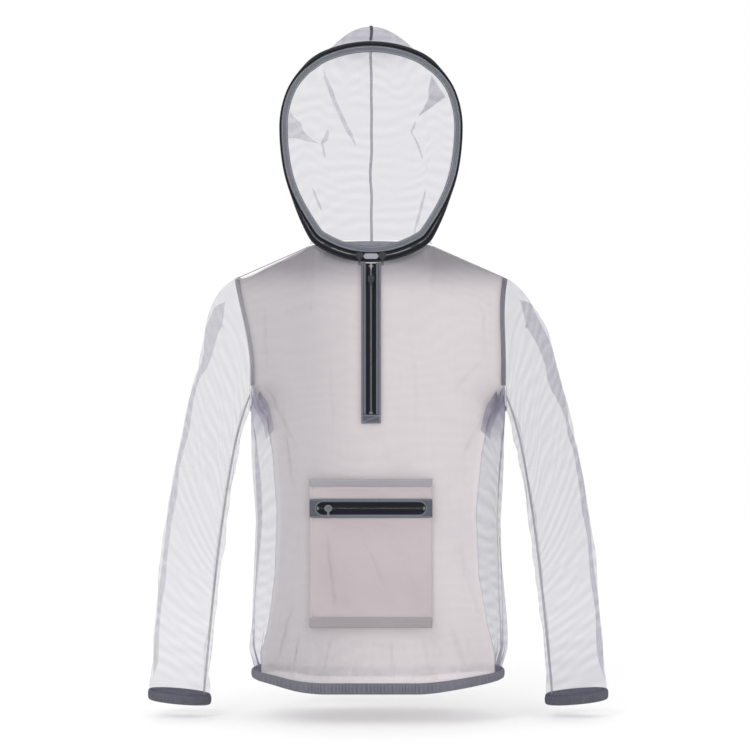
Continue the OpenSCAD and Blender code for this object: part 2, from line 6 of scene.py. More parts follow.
import bmesh
import bpy
import numpy as np
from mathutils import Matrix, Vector

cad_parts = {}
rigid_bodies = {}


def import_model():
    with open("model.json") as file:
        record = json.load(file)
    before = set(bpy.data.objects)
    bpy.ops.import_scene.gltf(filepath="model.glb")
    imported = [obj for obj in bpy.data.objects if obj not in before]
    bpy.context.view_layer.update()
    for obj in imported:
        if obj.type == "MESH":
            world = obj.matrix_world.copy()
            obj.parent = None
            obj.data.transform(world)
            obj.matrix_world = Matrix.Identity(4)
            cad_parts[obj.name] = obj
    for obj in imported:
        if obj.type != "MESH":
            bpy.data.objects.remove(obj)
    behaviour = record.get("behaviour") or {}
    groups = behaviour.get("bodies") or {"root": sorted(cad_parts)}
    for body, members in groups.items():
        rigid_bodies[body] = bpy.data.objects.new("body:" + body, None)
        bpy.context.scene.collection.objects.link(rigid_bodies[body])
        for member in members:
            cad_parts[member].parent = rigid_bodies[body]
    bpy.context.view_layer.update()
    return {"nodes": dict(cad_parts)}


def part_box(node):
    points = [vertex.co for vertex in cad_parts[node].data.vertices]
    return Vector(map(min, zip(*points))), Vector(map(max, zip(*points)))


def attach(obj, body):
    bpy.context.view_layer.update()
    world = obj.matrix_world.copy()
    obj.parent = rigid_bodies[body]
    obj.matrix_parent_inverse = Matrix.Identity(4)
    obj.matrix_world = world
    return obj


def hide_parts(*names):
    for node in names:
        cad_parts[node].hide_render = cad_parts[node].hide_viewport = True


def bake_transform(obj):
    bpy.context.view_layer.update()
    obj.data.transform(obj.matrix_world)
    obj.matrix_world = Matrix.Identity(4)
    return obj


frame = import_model()
nodes = frame["nodes"]

# ---------------------------------------------------------------- Sizes, taken from the frame
panel_low, panel_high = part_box("front_panel")
FRONT_Y = panel_low.y
DEPTH = -FRONT_Y
HEM_TOP = panel_low.z
HEM_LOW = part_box("hem_casing")[0].z
SHOULDER_HALF = panel_high.x
FLAT_HALF = 0.100
SHOULDER_DROP = 0.053
ARM_LOW = -0.257
ARM_HALF = (-SHOULDER_DROP - ARM_LOW) / 2
ARM_MID = (-SHOULDER_DROP + ARM_LOW) / 2
ARM_DEPTH = 0.074
ARM_SCOOP = 0.009
SIDE_JOIN = ARM_LOW + 0.035
NECK_HALF = 0.097
BACK_NECK_RISE = 0.014
BACK_NECK_REACH = 0.082

RING_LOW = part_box("ring_outer_tape")[0].z
RING_RADIUS = 0.155
RING_MIDDLE = RING_LOW + RING_RADIUS
RING_ARCS = ((RING_RADIUS, 32), (0.045, 61), (0.350, 90), (0.147, 130), (0.090, 157))  # radius, last heading
ZIP_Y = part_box("chest_left_tape")[0].y

CUFF_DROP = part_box("left_cuff_casing")[0].z
CUFF_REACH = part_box("left_cuff_casing")[1].x
CUFF_HEIGHT = 0.017
CROWN_Y = -0.030
POLE_Z = 0.160
HOOD_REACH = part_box("hood_left_panel")[1].y

CHEST_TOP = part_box("chest_left_tape")[1].z
CHEST_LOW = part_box("chest_bottom_patch")[1].z
POCKET_LOW_CORNER, POCKET_HIGH_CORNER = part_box("pocket_panel")
POCKET_ZIP_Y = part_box("pocket_upper_tape")[0].y
POCKET_ZIP_Z = (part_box("pocket_facing")[0].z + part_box("pocket_facing")[1].z) / 2


# ---------------------------------------------------------------- Small maths
def mix(a, b, t):
    return a + (b - a) * t


def smooth(t):
    t = np.clip(t, 0, 1)
    return t * t * (3 - 2 * t)


def round_to(t):
    return np.sqrt(np.clip(1 - np.asarray(t, float) ** 2, 0, None))


def bezier(points, t):
    a, b, c = (np.array(p, float) for p in points)
    t = np.asarray(t, float)[..., None]
    return a * (1 - t) ** 2 + b * 2 * t * (1 - t) + c * t * t


def unit(v):
    return v / np.maximum(np.linalg.norm(v, axis=-1, keepdims=True), 1e-12)


def wobble(x, seed):
    """A smooth wave of no fixed period, between about -1 and 1, for x in wavelengths."""
    rng = np.random.default_rng(seed)
    total, size = 0.0, 0.0
    for k in range(4):
        rate = 0.55 + 0.45 * k + 0.2 * rng.random()
        share = 1 / (1 + 0.5 * k)
        total = total + share * np.sin(2 * math.pi * (rate * x + rng.random()))
        size += share
    return total / size * 1.4


# ---------------------------------------------------------------- Shape functions
def ring_at(heading, inset=0.0):
    """Half outline of the face opening at a heading from 0 (bottom) to 180 (top), set in by inset."""
    heading = np.asarray(heading, float)
    inset = np.broadcast_to(np.asarray(inset, float), heading.shape)
    x = np.zeros_like(heading)
    z = RING_LOW + inset
    start = 0.0
    starts = (0, *(end for _, end in RING_ARCS))
    reach = sum(r * (math.sin(math.radians(b)) - math.sin(math.radians(a))) for (r, b), a in zip(RING_ARCS, starts))
    for radius, end in RING_ARCS + ((reach / math.sin(math.radians(starts[-1])), 180),):
        here = np.clip(heading, start, end)
        r = radius - inset
        x = x + r * (np.sin(np.radians(here)) - math.sin(math.radians(start)))
        z = z + r * (math.cos(math.radians(start)) - np.cos(np.radians(here)))
        start = end
    return x, z


def half_width(z):
    return np.interp(z, [HEM_LOW, HEM_TOP, -0.650, -0.600, -0.440, -0.330, ARM_LOW, ARM_MID],
                     [0.198, 0.200, 0.207, 0.206, 0.198, 0.203, 0.204, 0.217])


def armhole_x(z):
    c = (z - ARM_MID) / ARM_HALF
    return SHOULDER_HALF - 0.007 * (1 - c) - ARM_SCOOP * (1 - c * c)


def armhole_y(z):
    return ARM_DEPTH * round_to((z - ARM_MID) / ARM_HALF)


def panel_edge(z):
    return np.interp(z, [HEM_LOW, -0.650, -0.600, -0.520, -0.420, -0.330, -0.262, SIDE_JOIN],
                     [0.184, 0.184, 0.172, 0.160, 0.156, 0.164, 0.177, armhole_x(SIDE_JOIN)])


def edge_x(z):
    return np.where(z > SIDE_JOIN, armhole_x(z), panel_edge(z))


def section_angle(z):
    return np.arcsin(np.clip((panel_edge(z) - FLAT_HALF) / (half_width(z) - FLAT_HALF), 0, 1))


def edge_depth(z):
    low = mix(DEPTH * np.cos(section_angle(z)), armhole_y(z), smooth((z - SIDE_JOIN + 0.040) / 0.040))
    return np.where(z >= ARM_MID, ARM_DEPTH, low)


def shoulder_z(x):
    return -SHOULDER_DROP * np.clip((x - NECK_HALF) / (SHOULDER_HALF - NECK_HALF), 0, 1)


def top_z(x, back):
    x = np.asarray(x, float)
    arc = RING_RADIUS - 0.002
    if back:
        neck = BACK_NECK_RISE * round_to(x / NECK_HALF)
    else:
        neck = mix(RING_MIDDLE - np.sqrt(np.clip(arc * arc - x * x, 0, None)), shoulder_z(x),
                   smooth((x - 0.080) / 0.017))
    return np.where(x > NECK_HALF, shoulder_z(x), neck)


def top_depth(x, back):
    reach = BACK_NECK_REACH if back else DEPTH
    return np.where(x > NECK_HALF, 0, reach * round_to(np.minimum(x / NECK_HALF, 1)))


def panel_share(z):
    """How far up the body's front or back a height is, from 0 at the hem to 1 at the shoulder's end."""
    return (z - HEM_TOP) / (-SHOULDER_DROP - HEM_TOP)


def panel_point(u, v, back):
    """The body's front or back: u runs across from -X to +X and v from hem to shoulder."""
    side = 2 * u - 1
    z0 = mix(HEM_TOP, -SHOULDER_DROP, v)
    edge = edge_x(z0)
    x = np.abs(side) * edge
    q = np.clip((z0 - ARM_MID) / ARM_HALF, 0, 1)
    z = np.where(z0 <= ARM_MID, z0, ARM_MID + (top_z(x, back) - ARM_MID) * q)
    e = np.clip((x - FLAT_HALF) / (edge - FLAT_HALF), 0, 1)
    depth = mix(DEPTH, edge_depth(z0), e * e)
    top = top_depth(x, back)
    y = np.where(z0 <= ARM_MID, depth, top + (depth - top) * round_to(q))
    return np.stack([np.sign(side) * x, y if back else -y, z], -1)


def side_point(u, v):
    """The wearer's left side panel: u runs from its front edge to its back edge, v from hem to armhole."""
    c = 2 * u - 1
    low = ARM_LOW + (SIDE_JOIN - ARM_LOW) * c * c
    z = mix(HEM_TOP, low, v)
    a = mix(section_angle(z), math.pi - section_angle(z), u)
    x = FLAT_HALF + (half_width(z) - FLAT_HALF) * np.sin(a)
    y = -DEPTH * np.cos(a)
    rim = smooth((z - low + 0.060) / 0.060)
    return np.stack([mix(x, armhole_x(low), rim), mix(y, armhole_y(low) * np.sign(c), rim), z], -1)


OUTER_LINE = ((SHOULDER_HALF + 0.0012, -SHOULDER_DROP), (CUFF_REACH - 0.031, -0.250), (CUFF_REACH, CUFF_DROP))
INNER_LINE = ((SHOULDER_HALF - 0.013, ARM_LOW), (CUFF_REACH - 0.114, -0.430), (CUFF_REACH - 0.098, CUFF_DROP))
CUFF_FROM = 1 - CUFF_HEIGHT / (-CUFF_DROP - SHOULDER_DROP)


def sleeve_point(angle, t, inset=0.0):
    """The wearer's left sleeve: angle 0 is its outer line and pi its inner line, t runs from armhole to cuff."""
    outer, inner = bezier(OUTER_LINE, t), bezier(INNER_LINE, t)
    outer[..., 0] += 0.017 * (t / 0.1) * np.exp(1 - t / 0.1)
    half = (outer - inner) / 2
    reach = np.linalg.norm(half, axis=-1)
    swell = 0.0070 * np.sin(math.pi * np.clip(t / CUFF_FROM, 0, 1))
    p = (outer + inner) / 2 + half * ((reach + swell - inset) / reach * np.cos(angle))[..., None]
    scoop = ARM_SCOOP * np.sin(angle) ** 2 * (1 - smooth(t / 0.2))
    depth = np.interp(t, [0, 0.3, 0.6, 0.9, 1], [0.074, 0.061, 0.050, 0.036, 0.030])
    return np.stack([p[..., 0] - scoop, -(depth - inset) * np.sin(angle), p[..., 1]], -1)


def hem_loop(u, z, inset=0.0):
    """A loop round the body: u from 0 to 1, starting at the front corner of the wearer's left side."""
    quarter = 4 * np.mod(u, 1)
    k = np.floor(quarter)
    t = quarter - k
    a = np.radians(np.select([k == 0, k == 1, k == 2], [-90 + 180 * t, 90 + 0 * t, 90 + 180 * t], 270))
    flat = np.select([k == 0, k == 1, k == 2], [1 + 0 * t, 1 - 2 * t, -1 + 0 * t], 2 * t - 1)
    run = half_width(z) - FLAT_HALF - inset
    return np.stack([flat * FLAT_HALF + run * np.cos(a), (DEPTH - inset) * np.sin(a), z + 0 * u], -1)


def fold_amount(heading):
    """How far the face opening's zip has turned backwards: none at the bottom, all at the sides, part at the top."""
    run = np.interp(heading, (0, 32, 61, 90), (0, 0.087, 0.110, 0.287))
    return smooth((run - 0.074) / 0.150) * (1 - 0.5 * smooth((heading - 112) / 30))


FOLD_AT = 0.0135


def ring_point(heading, w):
    """A point of the band round the face opening at distance w in from its flat outer edge."""
    k = fold_amount(heading)
    folded_inset = np.where(w < FOLD_AT, 0.001, w - FOLD_AT + 0.001)
    folded_back = np.where(w < FOLD_AT, FOLD_AT - w, 0)
    x, z = ring_at(heading, mix(w, folded_inset, k))
    return np.stack([x, ZIP_Y + folded_back * k, z], -1)


def hood_slice(y, front, heading):
    """Outline of the hood's slice at depth y, at a heading of the face opening's outline."""
    x0, z0 = ring_at(heading, 0.002)
    g = np.where(y < CROWN_Y, 1, round_to((y - CROWN_Y) / (HOOD_REACH - CROWN_Y)))
    rise = 0.034 * np.where(y < CROWN_Y, 1 - ((CROWN_Y - y) / (CROWN_Y - front)) ** 2, 1)
    lift = rise * np.clip(1 - (x0 / 0.085) ** 2, 0, None) * (heading > 90)
    return x0 * g, POLE_Z + (z0 + lift - POLE_Z) * np.maximum(g, 0.12)


def nape_z(y):
    """Height of the hood's lower edge behind the back of the neck."""
    behind = np.clip((y - BACK_NECK_REACH) / (HOOD_REACH - BACK_NECK_REACH), 0, 1)
    return BACK_NECK_RISE + (POLE_Z - 0.020 - BACK_NECK_RISE) * (1 - round_to(behind))


def hood_point(u, v):
    """The wearer's left half of the hood: u from neck to crown seam and v from the face opening to the back."""
    plain_y = mix(FRONT_Y + 0.0005, HOOD_REACH, 1 - (1 - v) ** 1.6)
    beside = NECK_HALF * round_to(np.minimum(plain_y, 0) / DEPTH)
    start = np.maximum(3, np.degrees(np.arcsin(beside / (RING_RADIUS - 0.002))))
    heading = mix(start, 180, u)
    front = FRONT_Y + 0.0005 + (FOLD_AT - 0.002) * fold_amount(heading)
    y = mix(front, HOOD_REACH, 1 - (1 - v) ** 1.6)
    neck_x = np.where(y > BACK_NECK_REACH, 0,
                      NECK_HALF * round_to(np.where(y < 0, y / DEPTH, y / BACK_NECK_REACH)))
    neck_front = top_z(neck_x, False) + 0.0016
    neck_back = np.where(y > BACK_NECK_REACH, nape_z(y), top_z(neck_x, True) + 0.0016)
    neck_z = np.where(y < 0, neck_front, neck_back)
    x, z = hood_slice(y, front, heading)
    start_x, start_z = hood_slice(y, front, start)
    left = 1 - smooth(u / 0.34)
    return np.stack([x + (neck_x - start_x) * left, y, z + (neck_z - start_z) * left], -1)


SWAY = 0.011
SAG = 0.013


def sway(points):
    """The jacket hangs a little towards the wearer's left, and its hem is higher at the sides."""
    points = points.copy()
    x, z = points[..., 0], points[..., 2]
    wide = smooth((np.abs(x) - 0.10) / 0.08)
    low = smooth((-SHOULDER_DROP - 0.005 - z) / 0.14)
    trunk = np.abs(x) < 0.235
    points[..., 2] = z + SAG * smooth((np.abs(x) - 0.07) / 0.12) * np.exp((HEM_LOW - z) / 0.09) * trunk
    points[..., 0] = x + SWAY * wide * low
    return points


# ---------------------------------------------------------------- Meshes
def grid_uv(nu, nv):
    return np.meshgrid(np.linspace(0, 1, nu + 1), np.linspace(0, 1, nv + 1))


def mirrored(points):
    return points * np.array([-1, 1, 1])


def new_mesh(name, verts, faces, uvs=None):
    mesh = bpy.data.meshes.new(name)
    mesh.from_pydata([tuple(v) for v in np.reshape(verts, (-1, 3))], [], faces)
    if uvs is not None:
        layer = mesh.uv_layers.new(name="cut")
        corner = np.zeros(len(mesh.loops), np.int32)
        mesh.loops.foreach_get("vertex_index", corner)
        layer.data.foreach_set("uv", np.reshape(uvs, (-1, 2))[corner].astype(np.float32).ravel())
    mesh.polygons.foreach_set("use_smooth", [True] * len(mesh.polygons))
    mesh.validate()
    obj = bpy.data.objects.new(name, mesh)
    bpy.context.scene.collection.objects.link(obj)
    return obj


def cut_uv(points):
    """Flat coordinates in metres of a grid of points: distance across each row, and mean distance up."""
    across = np.linalg.norm(np.diff(points, axis=1), axis=-1)
    u = np.concatenate([np.zeros((len(points), 1)), np.cumsum(across, 1)], 1)
    u = u - u[:, -1:] / 2
    up = np.linalg.norm(np.diff(points, axis=0), axis=-1).mean(1)
    v = np.concatenate([[0], np.cumsum(up)])[:, None] + 0 * u
    return np.stack([u, v], -1)


def cloth_grid(name, points, keep=None, flip=False, grain=None):
    """A single sheet of cloth through a grid of points, with its flat cut as UV coordinates in metres.
    grain gives the coordinates along the threads where the grid's own rows and columns don't follow them."""
    rows, cols = points.shape[:2]
    corners = (j * cols + i for j in range(rows - 1) for i in range(cols - 1))
    faces = [(a, a + 1, a + 1 + cols, a + cols)[::-1 if flip else 1] for a in corners]
    if keep is not None:
        flat = points.reshape(-1, 3)
        faces = [f for f in faces if keep(flat[list(f)].mean(0))]
    return new_mesh(name, points, faces, cut_uv(points) if grain is None else np.stack(grain, -1))


def grid_normals(points, wrap):
    du = np.roll(points, -1, 1) - np.roll(points, 1, 1) if wrap else np.gradient(points, axis=1)
    dv = np.gradient(points, axis=0)
    return unit(np.cross(du, dv))


def slab(name, points, thick, wrap=False):
    """A closed band of even thickness: points is its outer face, and it is filled behind them."""
    rows, cols = points.shape[:2]
    inner = points - grid_normals(points, wrap) * thick
    uv = cut_uv(points)
    half = rows * cols
    faces = []
    last = cols if wrap else cols - 1
    for j in range(rows - 1):
        for i in range(last):
            a, b = j * cols + i, j * cols + (i + 1) % cols
            c, d = b + cols, a + cols
            faces += [(a, b, c, d), (a + half, d + half, c + half, b + half)]
    for i in range(last):
        a, b = i, (i + 1) % cols
        c, d = (rows - 1) * cols + b, (rows - 1) * cols + a
        faces += [(b, a, a + half, b + half), (d, c, c + half, d + half)]
    if not wrap:
        for j in range(rows - 1):
            a, d = j * cols, (j + 1) * cols
            b, c = a + cols - 1, d + cols - 1
            faces += [(a, d, d + half, a + half), (c, b, b + half, c + half)]
    return new_mesh(name, np.concatenate([points, inner]), faces, np.concatenate([uv, uv]))


def interpolate(at, run, values):
    return np.stack([np.interp(at, run, values[:, k]) for k in range(3)], 1)


def run_along(path):
    return np.concatenate([[0], np.cumsum(np.linalg.norm(np.diff(path, axis=0), axis=1))])


def resample(path, step):
    """Evenly spaced points along a path, and the unit tangent at each."""
    run = run_along(path)
    count = max(2, int(round(run[-1] / step)) + 1)
    points = interpolate(np.linspace(0, run[-1], count), run, path)
    return points, unit(np.gradient(points, axis=0))


def merge_blocks(name, corners, faces):
    """One mesh of many small blocks: corners is (count, verts, 3) and faces index one block."""
    count, size = corners.shape[:2]
    every = [tuple(i + k * size for i in f) for k in range(count) for f in faces]
    return new_mesh(name, corners, every)


STITCH_PITCH, STITCH_LENGTH, STITCH_RADIUS = 0.0034, 0.0023, 0.00032
COIL_PITCH, COIL_HEIGHT = 0.0021, 0.0019


def stitches(name, path, normal, pitch=STITCH_PITCH, length=STITCH_LENGTH):
    """A run of sewn thread: short rounded lengths that dip into the cloth at both ends."""
    points, tangent = resample(path, pitch)
    normal = np.broadcast_to(np.asarray(normal, float), points.shape)
    side = np.cross(tangent, normal)
    corners = []
    for along, size, sink in ((-0.5, 0.2, 0.6), (-0.25, 1, 0), (0.25, 1, 0), (0.5, 0.2, 0.6)):
        for a in (0, math.pi / 2, math.pi, 3 * math.pi / 2):
            corners.append(points + tangent * along * length + side * math.cos(a) * STITCH_RADIUS * size
                           + normal * (math.sin(a) * size - sink) * STITCH_RADIUS)
    corners = np.stack(corners, 1)
    faces = [(0, 1, 2, 3), (15, 14, 13, 12)]
    for r in range(3):
        for k in range(4):
            a, b = 4 * r + k, 4 * r + (k + 1) % 4
            faces.append((a + 4, b + 4, b, a))
    return merge_blocks(name, corners, faces)


def teeth(name, path, across, near, far, normal=None):
    """A row of coil turns across the path from near to far, rounded on top. The directions across the path are
    one vector or one for each of its points, and the coil stands square to them where no normal is given."""
    points, tangent = resample(path, COIL_PITCH)
    if np.ndim(across) > 1:
        across = interpolate(np.linspace(0, 1, len(points)), np.linspace(0, 1, len(across)), across)
    else:
        across = np.broadcast_to(across, points.shape)
    normal = np.cross(tangent, across) if normal is None else normal
    middle = (near + far) / 2
    corners = []
    for h, shrink in ((0, 1.0), (0.55, 1.0), (0.85, 0.72), (1.0, 0.35)):
        for w in (near, far):
            for s in (-1, 1):
                wide = middle + (w - middle) * (0.55 + 0.45 * shrink)
                length = s * COIL_PITCH * 0.36 * shrink
                corners.append(points + across * wide + tangent * length + normal * COIL_HEIGHT * h)
    corners = np.stack(corners, 1)
    faces = []
    order = (0, 1, 3, 2)
    for r in range(3):
        for k in range(4):
            a, b = 4 * r + order[k], 4 * r + order[(k + 1) % 4]
            faces.append((a, b, b + 4, a + 4))
    faces += [tuple(12 + k for k in order), tuple(reversed(order))]
    obj = merge_blocks(name, corners, faces)
    fix_normals(obj)
    return obj


def fix_normals(obj):
    bm = bmesh.new()
    bm.from_mesh(obj.data)
    bmesh.ops.recalc_face_normals(bm, faces=bm.faces)
    bm.to_mesh(obj.data)
    bm.free()


# ---------------------------------------------------------------- Materials
def add(tree, kind, inputs=None, **settings):
    """A shader node with its settings made, and each input given a value or linked to an output."""
    node = tree.nodes.new("ShaderNode" + kind)
    for name, value in settings.items():
        setattr(node, name, value)
    for name, value in (inputs or {}).items():
        if isinstance(value, bpy.types.NodeSocket):
            tree.links.new(value, node.inputs[name])
        else:
            node.inputs[name].default_value = value
    return node


def remap(tree, value, low, high, span=(0.0, 1.0), **settings):
    inputs = {"Value": value, "From Min": span[0], "From Max": span[1], "To Min": low, "To Max": high}
    return add(tree, "MapRange", inputs, **settings).outputs["Result"]


def multiply(tree, a, b, **settings):
    return add(tree, "Math", {0: a, 1: b}, operation="MULTIPLY", **settings).outputs["Value"]


def cut_place(tree):
    return add(tree, "UVMap", uv_map="cut").outputs["UV"]


def shade(name, colour, alpha=1.0, rough=0.8, metal=0.0, translucent=0.0, weave=None, mottle=0.0, sheen=0.0,
          colour_drift=(), gloss=0.0, ripple=0.0, denser=None):
    """A procedural finish, woven where weave is a thread pitch in metres and see-through where alpha is below 1.
    colour_drift fades to other colours, which on the lining is painted shade, and denser raises the cover, each along
    an axis of the object."""
    mat = bpy.data.materials.new(name)
    mat.use_nodes = True
    tree = mat.node_tree
    tree.nodes.clear()
    place = add(tree, "TexCoord").outputs["Object"]
    axes = add(tree, "SeparateXYZ", {"Vector": place}).outputs
    base = (*colour, 1)
    if mottle:
        noise = add(tree, "TexNoise", {"Vector": place, "Scale": 9.0, "Detail": 3.0}).outputs["Fac"]
        level = remap(tree, noise, 1 - mottle, 1 + mottle * 0.5, span=(0.3, 0.7))
        base = add(tree, "VectorMath", {0: colour, "Scale": level}, operation="SCALE").outputs["Vector"]
    for axis, start, end, target in colour_drift:
        share = remap(tree, axes[axis], 0.0, 1.0, span=(start, end), interpolation_type="SMOOTHSTEP")
        base = add(tree, "Mix", {"Factor": share, "A": base, "B": (*target, 1)}, data_type="RGBA").outputs["Result"]
    bsdf = add(tree, "BsdfPrincipled", {"Base Color": base, "Roughness": rough, "Metallic": metal,
                                        "Sheen Weight": sheen, "Specular IOR Level": gloss})
    surface = bsdf.outputs["BSDF"]
    if weave:
        threads = weave_pattern(tree, weave)
        bump = add(tree, "Bump", {"Strength": 0.35, "Distance": weave * 0.3, "Height": threads})
        tree.links.new(bump.outputs["Normal"], bsdf.inputs["Normal"])
    if translucent:
        through = add(tree, "BsdfTranslucent", {"Color": base}).outputs["BSDF"]
        surface = add(tree, "MixShader", {"Fac": translucent, 1: surface, 2: through}).outputs["Shader"]
    if alpha < 1:
        cover = remap(tree, threads, alpha * 0.55, min(1.0, alpha * 1.45)) if weave else alpha
        if ripple:
            cover = rippled(tree, cover, ripple)
        if denser:
            axis, start, end, times = denser
            level = remap(tree, axes[axis], 1.0, times, span=(start, end), interpolation_type="SMOOTHSTEP")
            cover = multiply(tree, cover, level, use_clamp=True)
        clear = add(tree, "BsdfTransparent").outputs["BSDF"]
        surface = add(tree, "MixShader", {"Fac": cover, 1: clear, 2: surface}).outputs["Shader"]
    add(tree, "OutputMaterial", {"Surface": surface})
    return mat


def rippled(tree, cover, amount):
    """Vary the cover of a net in wandering bands, as where its threads are drawn together."""
    bands = add(tree, "TexWave", {"Vector": cut_place(tree), "Scale": 15.0, "Distortion": 22.0, "Detail": 1.5,
                                  "Detail Scale": 0.35}, wave_type="BANDS", bands_direction="Y").outputs["Fac"]
    return multiply(tree, cover, remap(tree, bands, 1 - amount, 1 + amount))


def weave_pattern(tree, pitch):
    """Crossed threads at the given pitch, drawn along the cut cloth's own axes and pulled a little out of true."""
    place = cut_place(tree)
    drift = add(tree, "TexNoise", {"Vector": place, "Scale": 11.0, "Detail": 1.0}).outputs["Color"]
    pulled = add(tree, "VectorMath", {0: drift, 1: (0.012, 0.012, 0), 2: place}, operation="MULTIPLY_ADD")
    axes = add(tree, "SeparateXYZ", {"Vector": pulled.outputs["Vector"]}).outputs
    across, up = (add(tree, "Math", {0: multiply(tree, axes[axis], 2 * math.pi / pitch)}, operation="COSINE")
                  for axis in ("X", "Y"))
    top = add(tree, "Math", {0: across.outputs["Value"], 1: up.outputs["Value"]}, operation="MAXIMUM")
    return remap(tree, top.outputs["Value"], 0.0, 1.0, span=(-1.0, 1.0))


NET = (0.25, 0.237, 0.33)
CREAM = (0.90, 0.84, 0.83)
# The next colour is a darker tone of the cream lining, used as painted shade.
SHADED_CREAM = (0.68, 0.645, 0.64)
# The next colour is painted shade over the top of the shoulders, standing partly for the net doubled there.
SHOULDER_SHADE = (0.36, 0.35, 0.36)
SLATE = (0.082, 0.089, 0.110)
TRIM_SLATE = (0.150, 0.157, 0.180)
CASING = (0.165, 0.165, 0.200)
THREAD = (0.50, 0.53, 0.58)
ZIP_BLACK = (0.014, 0.015, 0.020)

net = shade("sheer_net", NET, alpha=0.165, translucent=0.4, weave=0.0012, ripple=0.04)
sleeve_net = {1: shade("sleeve_net", NET, alpha=0.178, translucent=0.4, weave=0.0012, ripple=0.16),
              -1: shade("sleeve_net", NET, alpha=0.142, translucent=0.4, weave=0.0012, ripple=0.16)}
veil_net = shade("veil_net", NET, alpha=0.128, translucent=0.4, weave=0.0012, ripple=0.14)
hood_net = shade("hood_net", NET, alpha=0.145, translucent=0.4, weave=0.0012, ripple=0.14,
                 denser=("Z", 0.285, 0.318, 2.2))
# The lining's fade towards -X is painted shade, darker on that side.
lining = shade("cream_lining", CREAM, alpha=0.90, translucent=0.15, weave=0.0011, mottle=0.04,
               # The lining's fade to grey near the top is painted shade over the shoulders, standing partly for the net
               # doubled there.
               colour_drift=(("X", 0.02, -0.12, SHADED_CREAM), ("Z", -0.085, -0.020, SHOULDER_SHADE)))
# The back lining is the same cream cloth in the darker tone above: painted shade.
back_lining = shade("back_lining", SHADED_CREAM, alpha=0.90, translucent=0.15, weave=0.0011, mottle=0.05)
pocket_cloth = shade("pocket_cloth", (0.58, 0.52, 0.54), alpha=0.80, translucent=0.15, weave=0.0011, mottle=0.05)
seam_cloth = shade("seam_tape", (0.21, 0.205, 0.24), alpha=0.50, translucent=0.2, weave=0.0011)
trim_slate = shade("face_trim", TRIM_SLATE, alpha=0.94, rough=0.75, weave=0.0009, mottle=0.10)
cuff_cloth = shade("cuff_cloth", (0.115, 0.115, 0.145), alpha=0.92, weave=0.0009, mottle=0.10)
soft_seam = shade("soft_seam", (0.25, 0.24, 0.28), alpha=0.28, translucent=0.2, weave=0.0011)
slate = shade("slate_binding", SLATE, rough=0.75, weave=0.0009, mottle=0.08, sheen=0.1, gloss=0.2)
casing_cloth = shade("casing_cloth", CASING, rough=0.8, weave=0.0009, mottle=0.12, sheen=0.1, gloss=0.1)
tape_cloth = shade("zip_tape", ZIP_BLACK, rough=0.9, weave=0.0010, gloss=0.1)
coil = shade("zip_teeth", (0.018, 0.019, 0.026), rough=0.5, mottle=0.1, gloss=0.25)
thread = shade("thread", THREAD, rough=0.7, mottle=0.05, gloss=0.1)
dark_metal = shade("dark_metal", (0.055, 0.058, 0.066), rough=0.42, metal=0.7, mottle=0.15, gloss=0.4)
metal = shade("slider_metal", (0.20, 0.205, 0.22), rough=0.38, metal=0.9, mottle=0.15, gloss=0.5)
tab_plastic = shade("end_tab", (0.28, 0.29, 0.33), rough=0.5, mottle=0.05, gloss=0.4)
elastic = shade("elastic", (0.62, 0.62, 0.60), rough=0.9, mottle=0.1)


# ---------------------------------------------------------------- Finishing a piece
def finish_piece(obj, material, body, slot, *replaced):
    obj.data.materials.clear()
    obj.data.materials.append(material)
    if body is not None:
        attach(obj, body)
    if replaced:
        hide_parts(*replaced)


def declare(obj, points, held, *rests_on):
    """Work out a sheet's flat width, length and area from the grid it was cut as; nothing is done with them."""
    width = np.linalg.norm(np.diff(points, axis=1), axis=-1).sum(1).max()
    length = np.linalg.norm(np.diff(points, axis=0), axis=-1).sum(0).max()
    area = sum(p.area for p in obj.data.polygons)
    area = float(np.clip(area, 0.31 * width * length, width * length))


# ---------------------------------------------------------------- Folds
def crease(points, start, end, width, depth):
    """Depth of a buckled fold along a line seen from the front, sharp at its ridge and faded at its ends."""
    a, b = np.array(start, float), np.array(end, float)
    along = b - a
    length = np.linalg.norm(along)
    t = along / length
    q = points[..., [0, 2]] - a
    run = q @ t / length
    off = np.abs(q @ np.array([-t[1], t[0]])) / width
    taper = smooth(np.clip(run, 0, 1) * 3) * smooth((1 - np.clip(run, 0, 1)) * 3)
    inside = (run > 0) & (run < 1)
    return depth * inside * taper * np.exp(-1.6 * off) * (off < 4)


def lap(p, spot, width, amount, open_depth=0.0012):
    """A lengthwise lap in the cloth: moves it back over itself near a line. Gives the sideways and outward shifts.
    p is the distance from the line, and spot and amount fade the lap along it."""
    x = p / width
    kernel = x * np.exp(-x * x / 2)
    return -amount * width * kernel * spot, open_depth * 1.65 * kernel * spot


# ---------------------------------------------------------------- Helpers for pieces
def join(name, parts):
    for o in bpy.context.view_layer.objects:
        o.select_set(False)
    for o in parts:
        o.select_set(True)
    bpy.context.view_layer.objects.active = parts[0]
    bpy.ops.object.join()
    parts[0].name = name
    parts[0].data.name = name
    return parts[0]


FRONT = np.array([0, -1.0, 0])
TAPE_THICK = 0.0008


def flat_strip(name, node, material, slot, y=None, seed=0):
    """A strip of tape facing the front over its node's box, very slightly uneven. Returns the box's corners."""
    low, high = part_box(node)
    across, up = (max(1, int(round(length / 0.003))) for length in (high.x - low.x, high.z - low.z))
    x, z = np.meshgrid(np.linspace(low.x, high.x, across + 1), np.linspace(low.z, high.z, up + 1))
    depth = low.y if y is None else y
    points = np.stack([x, depth + 0.00018 * wobble(z / 0.05 + x * 9, 120 + seed), z], -1)
    finish_piece(slab(name, points, TAPE_THICK), material, "torso", slot, node)
    return low, high


def flat_stitches(name, places, y, pitch=STITCH_PITCH, length=STITCH_LENGTH):
    """Thread on a piece that faces the front at depth y, through places given by x and z."""
    path = np.array([[x, y - 0.0001, z] for x, z in places])
    finish_piece(stitches(name, path, FRONT, pitch, length), thread, "torso", "slate_binding")


